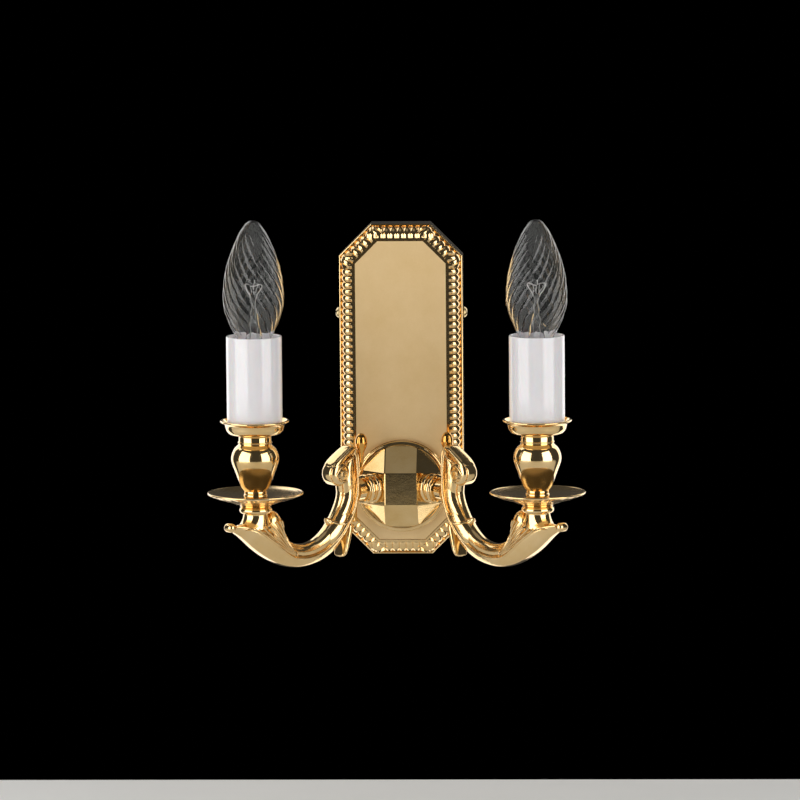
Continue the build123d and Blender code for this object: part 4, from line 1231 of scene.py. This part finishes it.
def stage_material(name, colour, roughness):
    finish = Finish(name, Roughness=roughness)
    grain = finish.noise(finish.place(), 30.0, 2.0)
    darker = (*[c * GRAIN_SHADE for c in colour[:3]], 1)
    finish.set(Base_Color=finish.blend(grain, colour, darker))
    return finish.material


def floor():
    bm = bmesh.new()
    bmesh.ops.create_grid(bm, x_segments=2, y_segments=2, size=1, matrix=FLOOR_PLACE)
    mesh = bpy.data.meshes.new("floor")
    bm.to_mesh(mesh)
    bm.free()
    mesh.materials.append(stage_material("pale_floor", FLOOR_COLOUR, 0.7))
    made = bpy.data.objects.new("floor", mesh)
    bpy.context.scene.collection.objects.link(made)


def grey(level):
    """Grey that leans a little to yellow."""
    return (level, level, level * WARMTH, 1)


def world():
    """Black behind the light, a dark grey veil through glass, and a dim room in reflections."""
    room = bpy.data.worlds.new("room")
    room.use_nodes = True
    nodes, links = room.node_tree.nodes, room.node_tree.links
    path = nodes.new("ShaderNodeLightPath")
    through, seen = (nodes.new("ShaderNodeMix") for _ in range(2))
    for mix, ray, level in ((through, "Is Transmission Ray", THROUGH), (seen, "Is Camera Ray", SEEN)):
        mix.data_type = "RGBA"
        links.new(path.outputs[ray], mix.inputs[0])
        mix.inputs[7].default_value = grey(level)
    through.inputs[6].default_value = grey(REFLECTED)
    links.new(through.outputs[2], seen.inputs[6])
    links.new(seen.outputs[2], nodes["Background"].inputs["Color"])
    bpy.context.scene.world = room


floor()
world()
print("floor at", FLOOR_Z)

# %% Soft boxes
# Each card: azimuth span from the camera's side, elevation span, distance in metres, brightness.
# Angles are in degrees about the middle of the room.
CARDS = {
    "left_front": (-80, -27, -30, 36, 1.1, 3.0),
    "right_front": (31, 74, -30, 36, 1.1, 3.0),
    "left_back": (-165, -126, -60, 40, 1.3, 1.7),
    "right_back": (126, 165, -60, 40, 1.3, 1.7),
    "left_high": (-150, -105, 32, 58, 1.2, 1.5),
    "top": (-180, 180, 72, 88, 1.2, 0.28),
}
ROOM_MIDDLE = Vector((0, -0.06, 0))
CARD_ROWS = 8
CARD_COLUMNS = 24
CARD_COLOUR = (1.0, 0.985, 0.97, 1)


def card(name, low_azimuth, high_azimuth, low, high, distance, brightness):
    """Part of a dome that glows inwards."""
    bm = bmesh.new()
    outline = arc((0, 0), distance, low, high, CARD_ROWS)
    verts = [bm.verts.new((0, -r, z)) for r, z in outline]
    edges = [bm.edges.new(pair) for pair in zip(verts, verts[1:])]
    turn = Matrix.Rotation(radians(low_azimuth), 3, "Z")
    bmesh.ops.rotate(bm, cent=(0, 0, 0), matrix=turn, verts=bm.verts)
    bmesh.ops.spin(bm, geom=verts + edges, cent=(0, 0, 0), axis=(0, 0, 1),
                   angle=radians(high_azimuth - low_azimuth), steps=CARD_COLUMNS)
    bmesh.ops.translate(bm, vec=ROOM_MIDDLE, verts=bm.verts)
    mesh = bpy.data.meshes.new(f"card_{name}")
    bm.to_mesh(mesh)
    bm.free()
    glow = bpy.data.materials.new(f"card_{name}")
    glow.use_nodes = True
    nodes, links = glow.node_tree.nodes, glow.node_tree.links
    nodes.remove(nodes["Principled BSDF"])
    light = nodes.new("ShaderNodeEmission")
    light.inputs["Color"].default_value = CARD_COLOUR
    light.inputs["Strength"].default_value = brightness
    links.new(light.outputs[0], nodes["Material Output"].inputs["Surface"])
    mesh.materials.append(glow)
    made = bpy.data.objects.new(f"card_{name}", mesh)
    made.visible_camera = False
    made.visible_transmission = False
    bpy.context.scene.collection.objects.link(made)


for name, setting in CARDS.items():
    card(name, *setting)
print("cards:", len(CARDS))

# %% [markdown]
# ## Measure and finish
# The dressed light has to stay as large as the frame.

# %% Finish
print("scene dressed")
